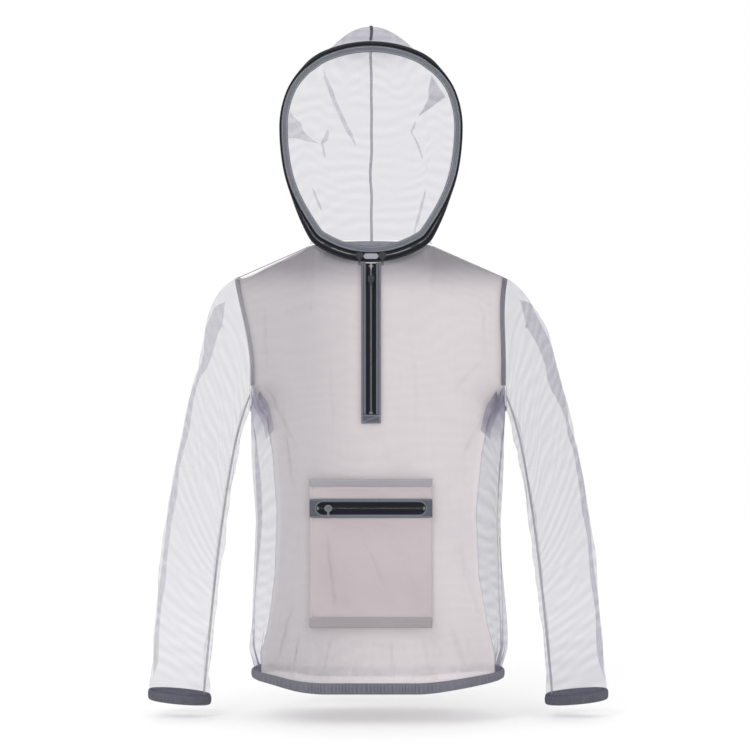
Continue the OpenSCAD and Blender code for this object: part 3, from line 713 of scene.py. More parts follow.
def flat_coil(name, node, start, end, across):
    """One straight row of a zip's coil, from start to end."""
    row = teeth(name, np.array([start, end]), across, 0.0001, 0.0032, FRONT)
    finish_piece(row, coil, "torso", "zip_teeth", node)


def loop_of(point, headings):
    """A closed loop from a function of heading for the +X half, mirrored for the -X half."""
    half = point(headings)
    other = mirrored(half[..., 1:-1, :])[..., ::-1, :]
    return np.concatenate([half, other], axis=-2)


HEADINGS = np.concatenate([np.linspace(0, 32, 36, endpoint=False), np.linspace(32, 61, 14, endpoint=False),
                           np.linspace(61, 90, 44, endpoint=False), np.linspace(90, 180, 92)])


def ring_band(name, w0, w1, lift=0.0, rows=8):
    """A band round the face opening between two distances in from its outer edge, lifted off the tape."""
    w = np.linspace(w0, w1, rows)[:, None]
    points = loop_of(lambda h: ring_point(h[None, :] + 0 * w, w + 0 * h[None, :]), HEADINGS)
    points = points + grid_normals(points, True) * lift
    return slab(name, points, TAPE_THICK, wrap=True)


def even_path(w, lift, pitch):
    """Evenly spaced points round the face opening, with the directions across the band and out of it."""
    three = np.array([w - 0.0005, w, w + 0.0005])[:, None]
    points = loop_of(lambda h: ring_point(h[None, :] + 0 * three, three + 0 * h[None, :]), HEADINGS)
    points = np.concatenate([points, points[:, :1]], axis=1)
    across = unit(points[2] - points[0])
    out = unit(np.cross(np.gradient(points[1], axis=0), across))
    path = points[1] + out * lift
    run = run_along(path)
    even = resample(path, pitch)[0]
    at = np.linspace(0, run[-1], len(even))
    return even, interpolate(at, run, across), interpolate(at, run, out)


# ---------------------------------------------------------------- Body cloth
def near_pocket(x, z):
    """1 well clear of the pocket and 0 over it."""
    dx = np.abs(x) - POCKET_HIGH_CORNER.x
    dz = np.maximum(z - POCKET_HIGH_CORNER.z, POCKET_LOW_CORNER.z - z)
    return smooth(np.maximum(dx, dz) / 0.030)


def near_zip(x, z):
    """1 clear of the chest zip and 0 along it."""
    down = smooth((CHEST_LOW - 0.016 - z) / 0.03)
    return np.maximum(smooth((np.abs(x) - 0.014) / 0.025), down)


def body_fold(points, seed, front):
    """How far the body cloth is pushed inwards: gathers at the hem, long soft drapes and sharp creases."""
    x, z = points[..., 0], points[..., 2]
    h = z - HEM_TOP
    gather = 0.0019 * np.exp(-h / 0.040) * (1 + wobble(x / 0.017 + 0.4 * wobble(h / 0.1, seed), seed + 1))
    drape = 0.0030 * np.exp(-h / 0.20) * (1 + wobble(x / 0.060 + 0.5 * wobble(z / 0.22, seed + 2), seed + 3))
    soft = 0.0020 * (1 + wobble(x / 0.120 + 0.35 * wobble(z / 0.30, seed + 4), seed + 5))
    d = gather + drape + soft
    if front:
        for start, end, width, depth in FRONT_CREASES:
            d = d + crease(points, start, end, width, depth)
    edge = smooth((edge_x(z) - np.abs(x)) / 0.018)
    top = smooth((top_z(x, not front) - z) / 0.040)
    hem = smooth(h / 0.006)
    d = d * edge * top * hem
    if front:
        d = d * near_pocket(x, z) * near_zip(x, z)
    return d


FRONT_CREASES = (
    ((-0.190, -0.215), (-0.110, -0.330), 0.0030, 0.0040),
    ((-0.150, -0.250), (-0.120, -0.400), 0.0026, 0.0034),
    ((0.185, -0.230), (0.135, -0.350), 0.0030, 0.0042),
    ((0.170, -0.180), (0.120, -0.240), 0.0026, 0.0030),
    ((-0.125, -0.560), (-0.165, -0.675), 0.0030, 0.0050),
    ((-0.110, -0.600), (-0.128, -0.680), 0.0026, 0.0040),
    ((-0.145, -0.480), (-0.176, -0.600), 0.0028, 0.0040),
    ((0.120, -0.590), (0.150, -0.680), 0.0028, 0.0046),
    ((0.135, -0.460), (0.168, -0.620), 0.0030, 0.0044),
    ((-0.060, -0.610), (-0.075, -0.682), 0.0024, 0.0036),
    ((0.030, -0.606), (0.036, -0.682), 0.0024, 0.0036),
    ((0.080, -0.604), (0.094, -0.682), 0.0024, 0.0034),
    ((-0.090, -0.070), (-0.190, -0.085), 0.0030, 0.0032),
    ((-0.060, -0.085), (-0.170, -0.120), 0.0030, 0.0030),
    ((0.085, -0.065), (0.195, -0.080), 0.0030, 0.0032),
    ((0.070, -0.090), (0.160, -0.115), 0.0030, 0.0028),
    ((0.060, -0.110), (0.075, -0.300), 0.0030, 0.0024),
    ((-0.070, -0.130), (-0.050, -0.330), 0.0030, 0.0024),
    ((-0.172, -0.085), (-0.178, -0.200), 0.0026, 0.0030),
    ((0.176, -0.090), (0.172, -0.190), 0.0026, 0.0030),
)


def body_sheet(name, back, share, inset, material, slot, keep=None):
    """A front or back sheet of the body. Gives the piece and its points."""
    nu, nv, seed = (130, 160, 31) if back else (168, 200, 11)
    u, v = grid_uv(nu, nv)
    points = panel_point(1 - u if back else u, mix(-0.010, 1, v), back)
    x, z = points[..., 0], points[..., 2]
    clear = smooth((edge_x(z) - np.abs(x)) / 0.020) * smooth((top_z(x, back) - z) / 0.030)
    d = share * body_fold(points, seed, not back) + mix(0.0006, inset, clear)
    points = sway(points - grid_normals(points, False) * d[..., None])
    obj = cloth_grid(name, points, keep)
    finish_piece(obj, material, "torso", slot, "back_panel" if back else "front_panel")
    return obj, points


def not_in_slit(middle):
    return abs(middle[0]) > 0.0078 or middle[2] < CHEST_LOW


def below_neck(middle):
    return abs(middle[0]) > NECK_HALF or middle[2] < -0.006


body_sheets = [body_sheet("front_net", False, 1.0, 0.0006, net, "sheer_net", not_in_slit),
               body_sheet("front_lining", False, 0.97, 0.0030, lining, "body_cloth", not_in_slit),
               body_sheet("back_net", True, 1.0, 0.0006, net, "sheer_net"),
               body_sheet("back_lining", True, 0.97, 0.0030, back_lining, "body_cloth", below_neck)]

side_nets = []
for side, label, cover in ((1, "left", 0.25), (-1, "right", 0.18)):
    u, v = grid_uv(70, 170)
    u, v = mix(-0.02, 1.02, u), mix(-0.014, 1, v)
    lapped, out = lap(u - 0.30, smooth((v - 0.02) / 0.2) * smooth((0.98 - v) / 0.3), 0.11, 2.6, 0.004)
    points = side_point(np.clip(u + lapped, -0.02, 1.02), v)
    d = 0.004 * (1 + wobble(u / 0.28 + 0.7 * v, 51 + side)) * smooth((1 - v) / 0.15)
    d = d + 0.003 * np.exp(-v / 0.10) * (1 + wobble(u / 0.09, 53 + side))
    rim = smooth(u / 0.06) * smooth((1 - u) / 0.06)
    points = points - grid_normals(side_point(u, v), False) * ((d - out) * rim)[..., None]
    sheets = [points]
    z = np.linspace(-0.300, SIDE_JOIN - 0.001, 60)  # strips that close the underarm to the body's edges
    height = (z - HEM_TOP) / (SIDE_JOIN - HEM_TOP)
    for back in (0, 1):
        body_edge = panel_point(1.0, panel_share(z), back)
        side_edge = side_point(back + 0 * z, height)
        across = unit(side_point(0.07 + 0.86 * back + 0 * z, height) - side_edge)
        sheets.append(np.stack([body_edge - across * 0.014, body_edge, side_edge, side_edge + across * 0.012], 1)
                      - np.array([0.0008, 0, 0]))
    pieces = [cloth_grid(label + "_side_net", sway(q if side > 0 else mirrored(q)), flip=side < 0) for q in sheets]
    obj = join(label + "_side_net", pieces)
    finish = shade("side_net", NET, alpha=cover, translucent=0.4, weave=0.0012, ripple=0.12,
                   denser=("Z", -0.330, -0.240, 2.2))
    finish_piece(obj, finish, "torso", "sheer_net", label + "_side_panel")
    side_nets.append((obj, points))

# ---------------------------------------------------------------- Hem
def pleats(u, seed, count, amount):
    """How far each column of a gathered band stands out, for u from 0 to 1 round it."""
    phase = count * u + 0.35 * np.sin(2 * math.pi * 7 * u + seed) + 0.25 * np.sin(2 * math.pi * 17 * u + 2 * seed)
    ridge = np.abs(np.sin(math.pi * phase)) ** 0.7
    swell = 0.5 + 0.5 * np.sin(2 * math.pi * (count * 0.31) * u + seed)
    return amount * ridge * (0.65 + 0.35 * swell)


def gathered_band(name, loop, top, height, columns, seed, count, amount, wall=0.0032):
    """A casing gathered on its elastic: one closed tube with pleats down its outer face."""
    u = np.linspace(0, 1, columns, endpoint=False)
    stand = pleats(u, seed, count, amount)
    rows = []
    for share, inset, puff in ((0.00, 0.0012, 0.1), (0.10, -0.0004, 0.55), (0.30, -0.0008, 1.0), (0.55, -0.0009, 1.05),
                               (0.80, -0.0006, 0.95), (0.95, 0.0004, 0.6), (1.00, 0.0018, 0.2), (0.95, wall, 0.0),
                               (0.55, wall + 0.0004, 0.0), (0.10, wall, 0.0), (0.00, 0.0020, 0.0)):
        z = top - height * share
        centre = loop(u, z, inset)
        out = unit(centre - loop(u, z, inset + 0.001))
        rows.append(centre + out * (stand * puff)[:, None])
    points = np.stack(rows)
    faces = []
    for j in range(len(rows)):
        this, below = j * columns, (j + 1) % len(rows) * columns
        for i in range(columns):
            after = (i + 1) % columns
            faces.append((this + i, below + i, below + after, this + after))
    obj = new_mesh(name, points, faces, cut_uv(points))
    fix_normals(obj)
    return obj


def sagging_hem(u, z, inset):
    return sway(hem_loop(u, z, inset))


hem = gathered_band("hem_band", sagging_hem, HEM_TOP - 0.0004, HEM_TOP - HEM_LOW, 1500, 3, 140, 0.0030)
finish_piece(hem, casing_cloth, "torso", "casing_cloth", "hem_casing")
u = np.linspace(0, 1, 240, endpoint=False)
rows = [sagging_hem(u, mix(HEM_LOW + 0.005, HEM_TOP - 0.003, k), 0.0018) for k in (0, 0.5, 1)]
hem_core = slab("hem_elastic_band", np.stack(rows), 0.0005, wrap=True)
finish_piece(hem_core, elastic, "torso", "elastic", "hem_elastic")


# ---------------------------------------------------------------- Sleeves
SEAM_ANGLE = math.pi - 0.62


def placed(points, side):
    """A sleeve's points on their own side of the jacket, swayed with the rest of it."""
    return sway(points if side > 0 else mirrored(points))


SLEEVE_CREASES = (
    ((0.214, -0.150), (0.262, -0.112), 0.0030, 0.0050),
    ((0.212, -0.185), (0.250, -0.150), 0.0026, 0.0040),
    ((0.210, -0.205), (0.268, -0.232), 0.0030, 0.0055),
    ((0.216, -0.235), (0.258, -0.330), 0.0030, 0.0050),
    ((0.246, -0.140), (0.282, -0.240), 0.0034, 0.0050),
    ((0.262, -0.200), (0.292, -0.330), 0.0034, 0.0050),
    ((0.258, -0.610), (0.300, -0.540), 0.0026, 0.0038),
    ((0.290, -0.520), (0.304, -0.690), 0.0024, 0.0034),
    ((0.268, -0.560), (0.272, -0.690), 0.0024, 0.0034),
)


def sleeve_points(side):
    u, t = np.meshgrid(np.linspace(0, 1, 301), np.linspace(0.0, CUFF_FROM, 331))
    angle = SEAM_ANGLE + 2 * math.pi * u
    seed = 60 + side
    fade = smooth(t / 0.10) * smooth((CUFF_FROM - t) / 0.06)
    broad = 0.36 if side > 0 else 0.24
    wide = mix(broad, 0.15, smooth(t / 0.8)) * (1 + 0.20 * wobble(t / 0.30, seed))
    centre = 2 * math.pi + mix(0.62, 0.42, smooth(t / 0.5)) + 0.12 * wobble(t / 0.4, seed + 1)
    shift_a, out_a = lap(angle - centre, fade, wide, 3.0, 0.0018)
    centre = 3 * math.pi - 0.30 + 0.08 * wobble(t / 0.35, seed + 2)
    shift_b, out_b = lap(angle - centre, fade, 0.16, 2.6, 0.0014)
    points = sleeve_point(angle + shift_a + shift_b, t)
    plain = sleeve_point(angle, t)
    normal = grid_normals(plain, False)
    normal = normal * np.sign((normal * (plain - plain.mean(1, keepdims=True))).sum(-1, keepdims=True))
    d = 0.0022 * (1 + wobble(np.sin(angle) * 1.3 + t * 3.0, seed + 3))
    d = d + 0.0016 * (1 + wobble(np.cos(angle) * 2.0 + t * 6.0, seed + 4))
    d = d + 0.0018 * smooth((t - 0.86) / 0.12) * (1 + wobble(angle * 2.3, seed + 5))
    for k, (start, end, width, depth) in enumerate(SLEEVE_CREASES):
        on_front = points[..., 1] < 0 if (k + side) % 3 else points[..., 1] >= 0
        d = d + crease(points, start, end, width, depth * (1.0 if side > 0 else 0.75)) * on_front
    return points - normal * (d * fade - out_a - out_b)[..., None]


sleeve_sheets = []
for side, label in ((1, "left"), (-1, "right")):
    body = label + "_sleeve"
    points = sleeve_points(side)
    obj = cloth_grid(label + "_sleeve_net", placed(points, side), flip=side < 0)
    finish_piece(obj, sleeve_net[side], None, "sheer_net", body)
    t = np.linspace(0.0, CUFF_FROM, 260)[:, None]
    seam = sleeve_point(SEAM_ANGLE + np.array([-0.0032, 0, 0.0032]) / 0.055 + 0 * t, t + np.zeros(3), -0.0010)
    tape = cloth_grid(label + "_sleeve_seam", placed(seam, side))
    finish_piece(tape, seam_cloth, None, "seam_tape")
    start = (side * 0.206 + SWAY, 0.0, ARM_LOW)
    end = (side * 0.294 + SWAY, 0.0, ARM_LOW - 0.032)
    for piece in (obj, tape):
        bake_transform(piece)

    def cuff(u, z, inset, side=side):
        flat = sleeve_point(2 * math.pi * u, CUFF_FROM + 0 * u, inset)
        flat[:, 2] += z
        return placed(flat, side)

    cuff_obj = gathered_band(label + "_cuff_band", cuff, 0.0, CUFF_HEIGHT, 420, 5 + side, 34, 0.0016, wall=0.0026)
    finish_piece(cuff_obj, cuff_cloth, body, "casing_cloth", label + "_cuff_casing")
    u = np.linspace(0, 1, 90, endpoint=False)
    core = slab(label + "_cuff_elastic_band", np.stack([cuff(u, z, 0.0014) for z in (-0.003, -0.008, -0.013)]),
                0.0005, wrap=True)
    fix_normals(core)
    finish_piece(core, elastic, body, "elastic", label + "_cuff_elastic")
    sleeve_sheets.append((obj, points))

# ---------------------------------------------------------------- Hood
HOOD_LAPS = {
    1: (((0.078, 0.214), (0.070, 0.190), 0.0035, 2.6), ((0.070, 0.196), (0.088, 0.140), 0.0040, 2.6),
        ((0.100, 0.100), (0.072, 0.010), 0.0040, 2.6)),
    -1: (((0.086, 0.300), (0.023, 0.160), 0.0046, 2.8), ((0.085, 0.172), (0.076, 0.200), 0.0036, 2.6),
         ((0.086, 0.176), (0.080, 0.146), 0.0040, 2.6), ((0.104, 0.100), (0.082, 0.052), 0.0040, 2.6)),
}
HOOD_FLAPS = {
    1: (((0.106, 0.281), (0.126, 0.238), (0.077, 0.216)), 3),
    -1: (((0.130, 0.217), (0.134, 0.168), (0.084, 0.172)), 2),
}
HOOD_CREASES = (
    ((0.020, 0.260), (0.110, 0.150), 0.0026, 0.0040),
    ((0.015, 0.150), (0.080, 0.060), 0.0026, 0.0040),
    ((0.040, 0.230), (0.050, 0.060), 0.0026, 0.0034),
    ((0.120, 0.160), (0.060, 0.080), 0.0026, 0.0034),
)


def hood_half(side):
    v, u = grid_uv(120, 150)
    v = v ** 1.15
    plain = hood_point(u, v)
    normal = grid_normals(plain, False)
    away = plain - np.array([0.0, 0.0, POLE_Z - 0.02])
    normal = normal * np.sign((normal * away).sum(-1, keepdims=True))
    seed = 80 + side
    free = smooth(u / 0.08) * smooth((1 - u) / 0.35) * smooth(v / 0.10)
    points = plain.copy()
    for start, end, width, amount in HOOD_LAPS[side]:
        span = np.subtract(end, start)
        length = np.linalg.norm(span)
        along = span / length
        q = plain[..., [0, 2]] - start
        run = q @ along / length
        across = np.array([-along[1], along[0]])
        spot = smooth((run + 0.1) / 0.35) * smooth((1.15 - run) / 0.5) * smooth((plain[..., 1] + 0.03) / 0.05)
        spot = spot * smooth(u / 0.08) * smooth((1 - u) / 0.05)
        shift, out = lap(q @ across, spot, width, amount, 0.002)
        points[..., 0] += shift * across[0]
        points[..., 2] += shift * across[1]
        points = points + normal * out[..., None]
    d = 0.0050 * (1 + wobble(u * 1.6 + 0.6 * wobble(v * 1.2, seed), seed + 1))
    d = d + 0.0026 * (1 + wobble(v * 2.6 + u * 1.4, seed + 2))
    for start, end, width, depth in HOOD_CREASES:
        d = d + crease(plain, start, end, width, depth) * (plain[..., 1] > 0)
    return points - normal * (d * free)[..., None]


def sample(points, spot):
    """Points of a grid at fractional rows and columns."""
    rows, cols = points.shape[:2]
    r = np.clip(spot[..., 0], 0, rows - 1.001)
    c = np.clip(spot[..., 1], 0, cols - 1.001)
    i, j = r.astype(int), c.astype(int)
    a, b = (r - i)[..., None], (c - j)[..., None]
    return mix(mix(points[i, j], points[i, j + 1], b), mix(points[i + 1, j], points[i + 1, j + 1], b), a)


def flap(points, corners, lift):
    """A triangle of the hood's cloth folded flat against its inside, by its three corners seen from the front."""
    spots = []
    for x, z in corners:
        miss = (points[..., 0] - x) ** 2 + (points[..., 2] - z) ** 2 + (points[..., 1] < -0.02)
        spots.append(np.unravel_index(np.argmin(miss), miss.shape))
    first, second, tip = np.array(spots, float)
    across, up = (k[..., None] for k in np.meshgrid(np.linspace(0, 1, 18), np.linspace(0, 0.97, 24)))
    folded = sample(points, mix(mix(first, second, across), tip, up))
    return folded + unit(np.array([0, -0.02, 0.15]) - folded) * lift


hood_sheets = []
for side, label in ((1, "left"), (-1, "right")):
    points = hood_half(side)
    corners, count = HOOD_FLAPS[side]
    layers = [points, *(flap(points, corners, 0.0012 * (k + 1)) for k in range(count))]
    pieces = [cloth_grid("hood_%s_net" % label, q if side > 0 else mirrored(q), flip=side < 0,
                         grain=(q[..., 1] - q[..., 0], q[..., 2])) for q in layers]
    obj = join("hood_%s_net" % label, pieces)
    finish_piece(obj, hood_net, "torso", "sheer_net", "hood_%s_panel" % label)
    hood_sheets.append((obj, points))


SEAM_THICK = 0.0006


def ribbon(name, path, across, width, out=0.0, lift=0.0):
    """A strip of tape along a path, lifted off it in the direction out."""
    w = np.linspace(-0.5, 0.5, 4)[:, None, None] * width
    return slab(name, path + across * w + out * lift, SEAM_THICK)


v = np.linspace(0.01, 1, 90)
u = np.linspace(1, 0, 30)[1:]
nape_y = mix(HOOD_REACH, BACK_NECK_REACH, np.linspace(0, 1, 60)[1:])
nape = np.stack([0 * nape_y, nape_y, nape_z(nape_y)], 1)
seam_path = np.concatenate([hood_point(np.ones_like(v), v), hood_point(u, np.ones_like(u)), nape])
seam_path[:, 0] = 0
seam_path, tangent = resample(seam_path, 0.004)
seam_path[:, 0] = 0.0012 * wobble(np.linspace(0, 4, len(seam_path)), 91)
seam_out = np.cross(np.array([1.0, 0, 0]), tangent)
seam_out = seam_out * np.sign((seam_out * (seam_path - np.array([0, 0, POLE_Z]))).sum(1, keepdims=True))
hood_tape = ribbon("hood_seam_tape", seam_path, np.array([1.0, 0, 0]), 0.0044, seam_out, 0.0010)
fix_normals(hood_tape)
dark_seam = shade("hood_seam", (0.10, 0.095, 0.11), alpha=0.36, weave=0.0011,
                  colour_drift=(("Y", -0.035, 0.020, (0.26, 0.235, 0.26)),), denser=("Y", 0.020, -0.035, 2.2))
finish_piece(hood_tape, dark_seam, "torso", "seam_tape", "hood_centre_seam")

# ---------------------------------------------------------------- Seams of the body
def raised(points, axis, sign):
    """A grid lifted off its surface, towards the given sign of an axis."""
    normal = grid_normals(points, False)
    return points + normal * np.sign(normal[..., axis:axis + 1]) * (sign * 0.0014)


inset = 0.0075 * np.linspace(0, 1, 5)[:, None]  # across the armhole tape, from the edge of the cloth
for side, label in ((1, "left"), (-1, "right")):
    x = np.linspace(NECK_HALF + 0.001, SHOULDER_HALF - 0.003, 50)
    path = np.stack([x, 0 * x, shoulder_z(x)], 1)
    band = ribbon(label + "_shoulder_tape", placed(path, side)[::side], np.array([0, 1.0, 0]), 0.0090,
                  np.array([0, 0, 1.0]), SEAM_THICK)
    finish_piece(band, seam_cloth, "torso", "seam_tape", label + "_shoulder_seam")

    z = np.linspace(SIDE_JOIN, -SHOULDER_DROP - 0.0015, 70)
    beside = 1 - inset / edge_x(z)
    c = np.linspace(-1, 1, 40)
    height = ARM_LOW + (SIDE_JOIN - ARM_LOW) * c * c - HEM_TOP
    strips = (raised(panel_point((1 + beside) / 2, panel_share(z), False), 1, -1),
              raised(panel_point((1 + beside) / 2, panel_share(z), True), 1, 1)[::-1],
              raised(side_point((c + 1) / 2 + 0 * inset, 1 - inset / height), 0, 1))
    parts = [slab(label + "_armhole_%d" % k, placed(strip, side), SEAM_THICK) for k, strip in enumerate(strips)]
    for part in parts:
        fix_normals(part)
    tape = join(label + "_armhole_tape", parts)
    finish_piece(tape, seam_cloth if side > 0 else soft_seam, "torso", "seam_tape", label + "_armhole_seam")

a = np.radians(np.linspace(14, 346, 120))
front_part = np.cos(a) > 0
x = NECK_HALF * np.abs(np.sin(a))
neck_path = np.stack([(NECK_HALF - 0.003) * np.sin(a),
                      0.965 * np.where(front_part, -DEPTH, -BACK_NECK_REACH) * np.cos(a),
                      np.where(front_part, top_z(x, False), top_z(x, True)) - 0.005], 1)
neck_tape = ribbon("neck_tape", neck_path, np.array([0, 0, 1.0]), 0.0080)
finish_piece(neck_tape, seam_cloth, "torso", "slate_binding", "neck_binding")

# ---------------------------------------------------------------- Face opening
outer_tape = ring_band("ring_outer_band", 0.0, 0.0082, rows=6)
finish_piece(outer_tape, tape_cloth, "torso", "zip_tape", "ring_outer_tape")
inner_tape = ring_band("ring_inner_band", 0.0098, 0.0188)
finish_piece(inner_tape, tape_cloth, "veil", "zip_tape", "ring_inner_tape")
veil_trim = ring_band("veil_trim", 0.0150, 0.0250, 0.0013)
finish_piece(veil_trim, trim_slate, "veil", "slate_binding", "veil_binding")
for name, w, near, far, body, node in (("ring_outer_coil", 0.0070, -0.0012, 0.0020, "torso", "ring_outer_teeth"),
                                       ("ring_inner_coil", 0.0110, -0.0019, 0.0012, "veil", "ring_inner_teeth")):
    path, across, _ = even_path(w, 0.0, COIL_PITCH)
    finish_piece(teeth(name, path, across, near, far), coil, body, "zip_teeth", node)
for name, w, lift, material, body, slot in (("trim_stitch_outer", 0.0168, 0.00145, thread, "veil", "slate_binding"),
                                            ("trim_stitch_inner", 0.0232, 0.00145, thread, "veil", "slate_binding"),
                                            ("tape_stitch", 0.0016, 0.0001, slate, "torso", "zip_tape")):
    path, _, out = even_path(w, lift, STITCH_PITCH)
    finish_piece(stitches(name, path, out), material, body, slot)

veil_edge = ring_point(np.linspace(0, 180, 361), np.full(361, 0.0205))
veil_edge = veil_edge[np.argsort(veil_edge[:, 2])]
VEIL_LOW, VEIL_HIGH = veil_edge[0, 2], veil_edge[-1, 2]


def veil_reach(z):
    return np.interp(z, veil_edge[:, 2], veil_edge[:, 0], left=-1, right=-1)


VEIL_CREASES = (
    ((-0.093, 0.276), (-0.028, 0.150), 0.0020, 0.0042),
    ((-0.105, 0.120), (-0.030, 0.020), 0.0020, 0.0030),
    ((0.040, 0.270), (0.098, 0.170), 0.0020, 0.0034),
    ((0.020, 0.130), (0.088, 0.050), 0.0020, 0.0030),
    ((-0.010, 0.240), (0.012, 0.090), 0.0020, 0.0026),
)
x, z = np.meshgrid(np.linspace(-1, 1, 139) * veil_edge[:, 0].max(), np.linspace(VEIL_LOW, VEIL_HIGH, 161))
reach = np.maximum(veil_reach(z), 0.001)
hollow = smooth((reach - np.abs(x)) / 0.050) * smooth((z - VEIL_LOW) / 0.05) * smooth((VEIL_HIGH - z) / 0.05)
bulge = -0.007 * hollow + 0.003 * hollow * wobble(x / 0.10 + z / 0.16, 101) + 0.002 * hollow * wobble(z / 0.07, 102)
veil_points = np.stack([x, ZIP_Y + 0.0012 + bulge, z], -1)
for start, end, width, depth in VEIL_CREASES:
    veil_points[..., 1] += crease(veil_points, start, end, width, depth) * hollow
veil = cloth_grid("veil_net_sheet", veil_points, lambda m: abs(m[0]) < veil_reach(m[2]))
finish_piece(veil, veil_net, "veil", "sheer_net", "face_veil")

# ---------------------------------------------------------------- Chest zip
for side, label in ((1, "left"), (-1, "right")):
    flat_strip("chest_%s_strip" % label, "chest_%s_tape" % label, tape_cloth, "zip_tape", y=ZIP_Y, seed=side)
    low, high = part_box("chest_%s_teeth" % label)
    flat_coil("chest_%s_coil" % label, "chest_%s_teeth" % label, (0, ZIP_Y, low.z), (0, ZIP_Y, high.z),
              (float(side), 0, 0))
    low, high = flat_strip("chest_%s_trim" % label, "chest_%s_binding" % label, slate, "slate_binding", seed=side + 3)
    for k, x in enumerate((low.x + 0.0016, high.x - 0.0016)):
        flat_stitches("chest_%s_stitch_%d" % (label, k), ((x, low.z + 0.002), (x, high.z - 0.002)), low.y)

low, high = flat_strip("chest_patch", "chest_bottom_patch", slate, "slate_binding", seed=9)
left, right, bottom, top = low.x + 0.0018, high.x - 0.0018, low.z + 0.0018, high.z - 0.0018
flat_stitches("patch_stitch", ((left, bottom), (right, bottom), (right, top), (left, top), (left, bottom),
                               (right, top)), low.y, 0.003, 0.002)

# ---------------------------------------------------------------- Pocket
low, high = POCKET_LOW_CORNER, POCKET_HIGH_CORNER
PROUD = 0.0082
x, z = np.meshgrid(np.linspace(low.x, high.x, 131), np.linspace(low.z, high.z, 156))
edge = np.minimum(np.minimum(x - low.x, high.x - x), np.minimum(z - low.z, (high.z - z) * 1.4))
level = round_to(1 - np.clip(edge / 0.013, 0, 1))
near_slot = smooth((np.abs(z - POCKET_ZIP_Z) - 0.016) / 0.02)
sag = 0.0024 * (1 + wobble(x / 0.075 + z / 0.19, 141)) + 0.0014 * (1 + wobble(z / 0.06 + x / 0.12, 142))
pocket_points = np.stack([x, FRONT_Y - 0.0003 - PROUD * level, z], -1)
soft = sag * smooth(edge / 0.03) * near_slot * smooth((high.z - 0.013 - z) / 0.01)
soft = soft + crease(pocket_points, (-0.070, -0.440), (-0.052, -0.590), 0.0030, 0.0034) * near_slot
soft = soft + crease(pocket_points, (-0.020, -0.440), (0.030, -0.560), 0.0030, 0.0018) * near_slot
pocket_points[..., 1] += soft * smooth((z - low.z - 0.018) / 0.02)
pocket = cloth_grid("pocket_cloth_sheet", pocket_points,
                    lambda m: abs(m[0]) > 0.086 or abs(m[2] - POCKET_ZIP_Z) > 0.0110)
finish_piece(pocket, pocket_cloth, "torso", "pocket_cloth", "pocket_panel")

band_cloth = shade("pocket_band", (0.35, 0.34, 0.37), alpha=0.92, rough=0.8, weave=0.0010, mottle=0.06)
hem_cloth = shade("pocket_hem", (0.36, 0.33, 0.345), alpha=0.92, weave=0.0010, mottle=0.06)
band_low, band_high = flat_strip("pocket_top_band", "pocket_top_strip", band_cloth, "slate_binding", seed=11)
hem_low, hem_high = flat_strip("pocket_hem_band", "pocket_bottom_hem", hem_cloth, "slate_binding", seed=12)
for k, (z, y) in enumerate(((band_high.z - 0.0015, band_low.y), (band_low.z + 0.0015, band_low.y),
                            (hem_high.z - 0.0016, hem_low.y))):
    flat_stitches("pocket_stitch_%d" % k, ((band_low.x + 0.002, z), (band_high.x - 0.002, z)), y)

face_low, face_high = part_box("pocket_facing")
half_slot, slot_round = 0.084 - 0.0095, 0.0095


def slot_outline(grow, count=26):
    """A level slot with round ends, and the rectangle of the facing outside it, point for point."""
    pts, rect = [], []
    hx, hz = face_high.x, (face_high.z - face_low.z) / 2
    r = slot_round + grow
    for k in range(count + 1):
        a = math.radians(-90 + 180 * k / count)
        pts.append((half_slot + r * math.cos(a), r * math.sin(a)))
        s = min((hx - half_slot) / max(abs(math.cos(a)), 1e-9), hz / max(abs(math.sin(a)), 1e-9))
        rect.append((half_slot + s * math.cos(a), s * math.sin(a)))
    for k in range(1, 40):
        x = half_slot * (1 - 2 * k / 40)
        pts.append((x, r))
        rect.append((x, hz))
    left = [(-x, z) for x, z in pts[:count + 1]][::-1]
    left_rect = [(-x, z) for x, z in rect[:count + 1]][::-1]
    pts += left
    rect += left_rect
    for k in range(1, 40):
        x = -half_slot * (1 - 2 * k / 40)
        pts.append((x, -r))
        rect.append((x, -hz))
    return np.array(pts), np.array(rect)


inner, outer = slot_outline(0.0)
rows = [mix(outer, inner, k) for k in np.linspace(0, 1, 6)]
facing_points = np.stack([np.stack([r[:, 0], 0 * r[:, 0] + face_low.y, r[:, 1] + POCKET_ZIP_Z], 1) for r in rows])
facing = slab("pocket_facing_band", facing_points, 0.0008, wrap=True)
fix_normals(facing)
finish_piece(facing, slate, "torso", "slate_binding", "pocket_facing")
ring = slot_outline(0.0018)[0] + (0, POCKET_ZIP_Z)
flat_stitches("slot_stitch_0", [*ring, ring[0]], face_low.y)
for k, z in enumerate((face_low.z + 0.0014, face_high.z - 0.0014)):
    flat_stitches("facing_stitch_%d" % k, ((face_low.x + 0.002, z), (face_high.x - 0.002, z)), face_low.y)
for side, label in ((1, "upper"), (-1, "lower")):
    flat_strip("pocket_%s_strip" % label, "pocket_%s_tape" % label, tape_cloth, "zip_tape", y=POCKET_ZIP_Y)
    low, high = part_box("pocket_%s_teeth" % label)
    flat_coil("pocket_%s_coil" % label, "pocket_%s_teeth" % label, (low.x, POCKET_ZIP_Y, POCKET_ZIP_Z),
              (high.x, POCKET_ZIP_Y, POCKET_ZIP_Z), (0, 0, float(side)))

# ---------------------------------------------------------------- Sheets, and the nodes that stay as drawn
for obj, points in body_sheets:
    declare(obj, points, "hung", "left_shoulder_tape", "right_shoulder_tape")
for obj, points in side_nets + sleeve_sheets:
    declare(obj, points, "hung", obj.name.split("_")[0] + "_armhole_tape")
for obj, points in hood_sheets:
    declare(obj, points, "draped", "hood_seam_tape")
declare(veil, veil_points, "stretched", "veil_trim")
declare(pocket, pocket_points, "hung", "front_net")

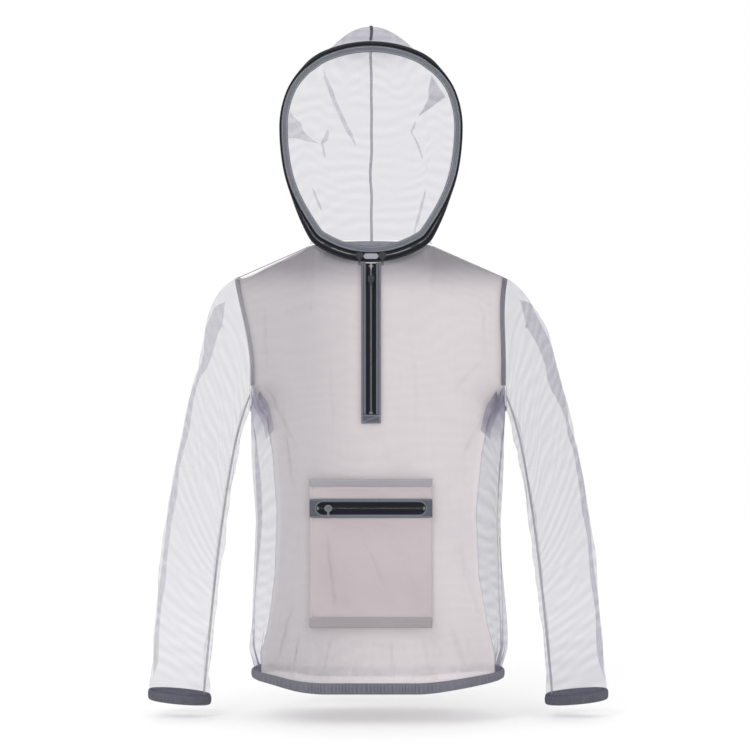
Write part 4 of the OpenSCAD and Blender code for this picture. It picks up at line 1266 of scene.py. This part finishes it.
STAY = (
    (tab_plastic, "ring_zip_tab"),
    (metal, "chest_top_stops", "chest_bottom_stop", "pocket_zip_stops", "pocket_slider", "pocket_pull"),
    (dark_metal, "left_ring_slider", "right_ring_slider", "left_ring_pull", "right_ring_pull", "chest_slider",
     "chest_pull"),
)
for material, *names in STAY:
    for name in names:
        nodes[name].data.materials.clear()
        nodes[name].data.materials.append(material)

# ---------------------------------------------------------------- Studio
scene = bpy.context.scene
scene.view_settings.view_transform = "Standard"
scene.view_settings.look = "None"
scene.cycles.transparent_max_bounces = 32
world = bpy.data.worlds.new("studio")
scene.world = world
world.use_nodes = True
sky = world.node_tree.nodes["Background"].inputs
sky["Color"].default_value = (1, 1, 1, 1)
sky["Strength"].default_value = 1.0


def lamp(name, place, aim, size, watts):
    data = bpy.data.lights.new(name, "AREA")
    data.shape = "SQUARE"
    data.size = size
    data.energy = watts
    obj = bpy.data.objects.new(name, data)
    obj.location = place
    obj.rotation_euler = (Vector(aim) - Vector(place)).to_track_quat("-Z", "Y").to_euler()
    scene.collection.objects.link(obj)


lamp("key", (-1.6, -2.4, 1.7), (0, 0, -0.2), 1.2, 22)
lamp("fill", (2.0, -2.0, 0.3), (0, 0, -0.2), 1.6, 9)

floor_mesh = bpy.data.meshes.new("floor")
FLOOR_Z, FLOOR_HALF = -0.752, 9
floor_mesh.from_pydata([(x * FLOOR_HALF, y * FLOOR_HALF, FLOOR_Z) for x, y in ((-1, -1), (1, -1), (1, 1), (-1, 1))], [],
                       [(0, 1, 2, 3)])
floor = bpy.data.objects.new("floor", floor_mesh)
scene.collection.objects.link(floor)
floor.data.materials.append(shade("floor_paper", (1.0, 1.0, 1.0), rough=1.0))

camera_data = bpy.data.cameras.new("camera")
camera_data.lens = 100
camera_data.sensor_width = 36
camera = bpy.data.objects.new("camera", camera_data)
camera.location = (0.0062, FRONT_Y - 3.23, -0.206)
camera.rotation_euler = (math.radians(90), 0, 0)
scene.collection.objects.link(camera)
scene.camera = camera
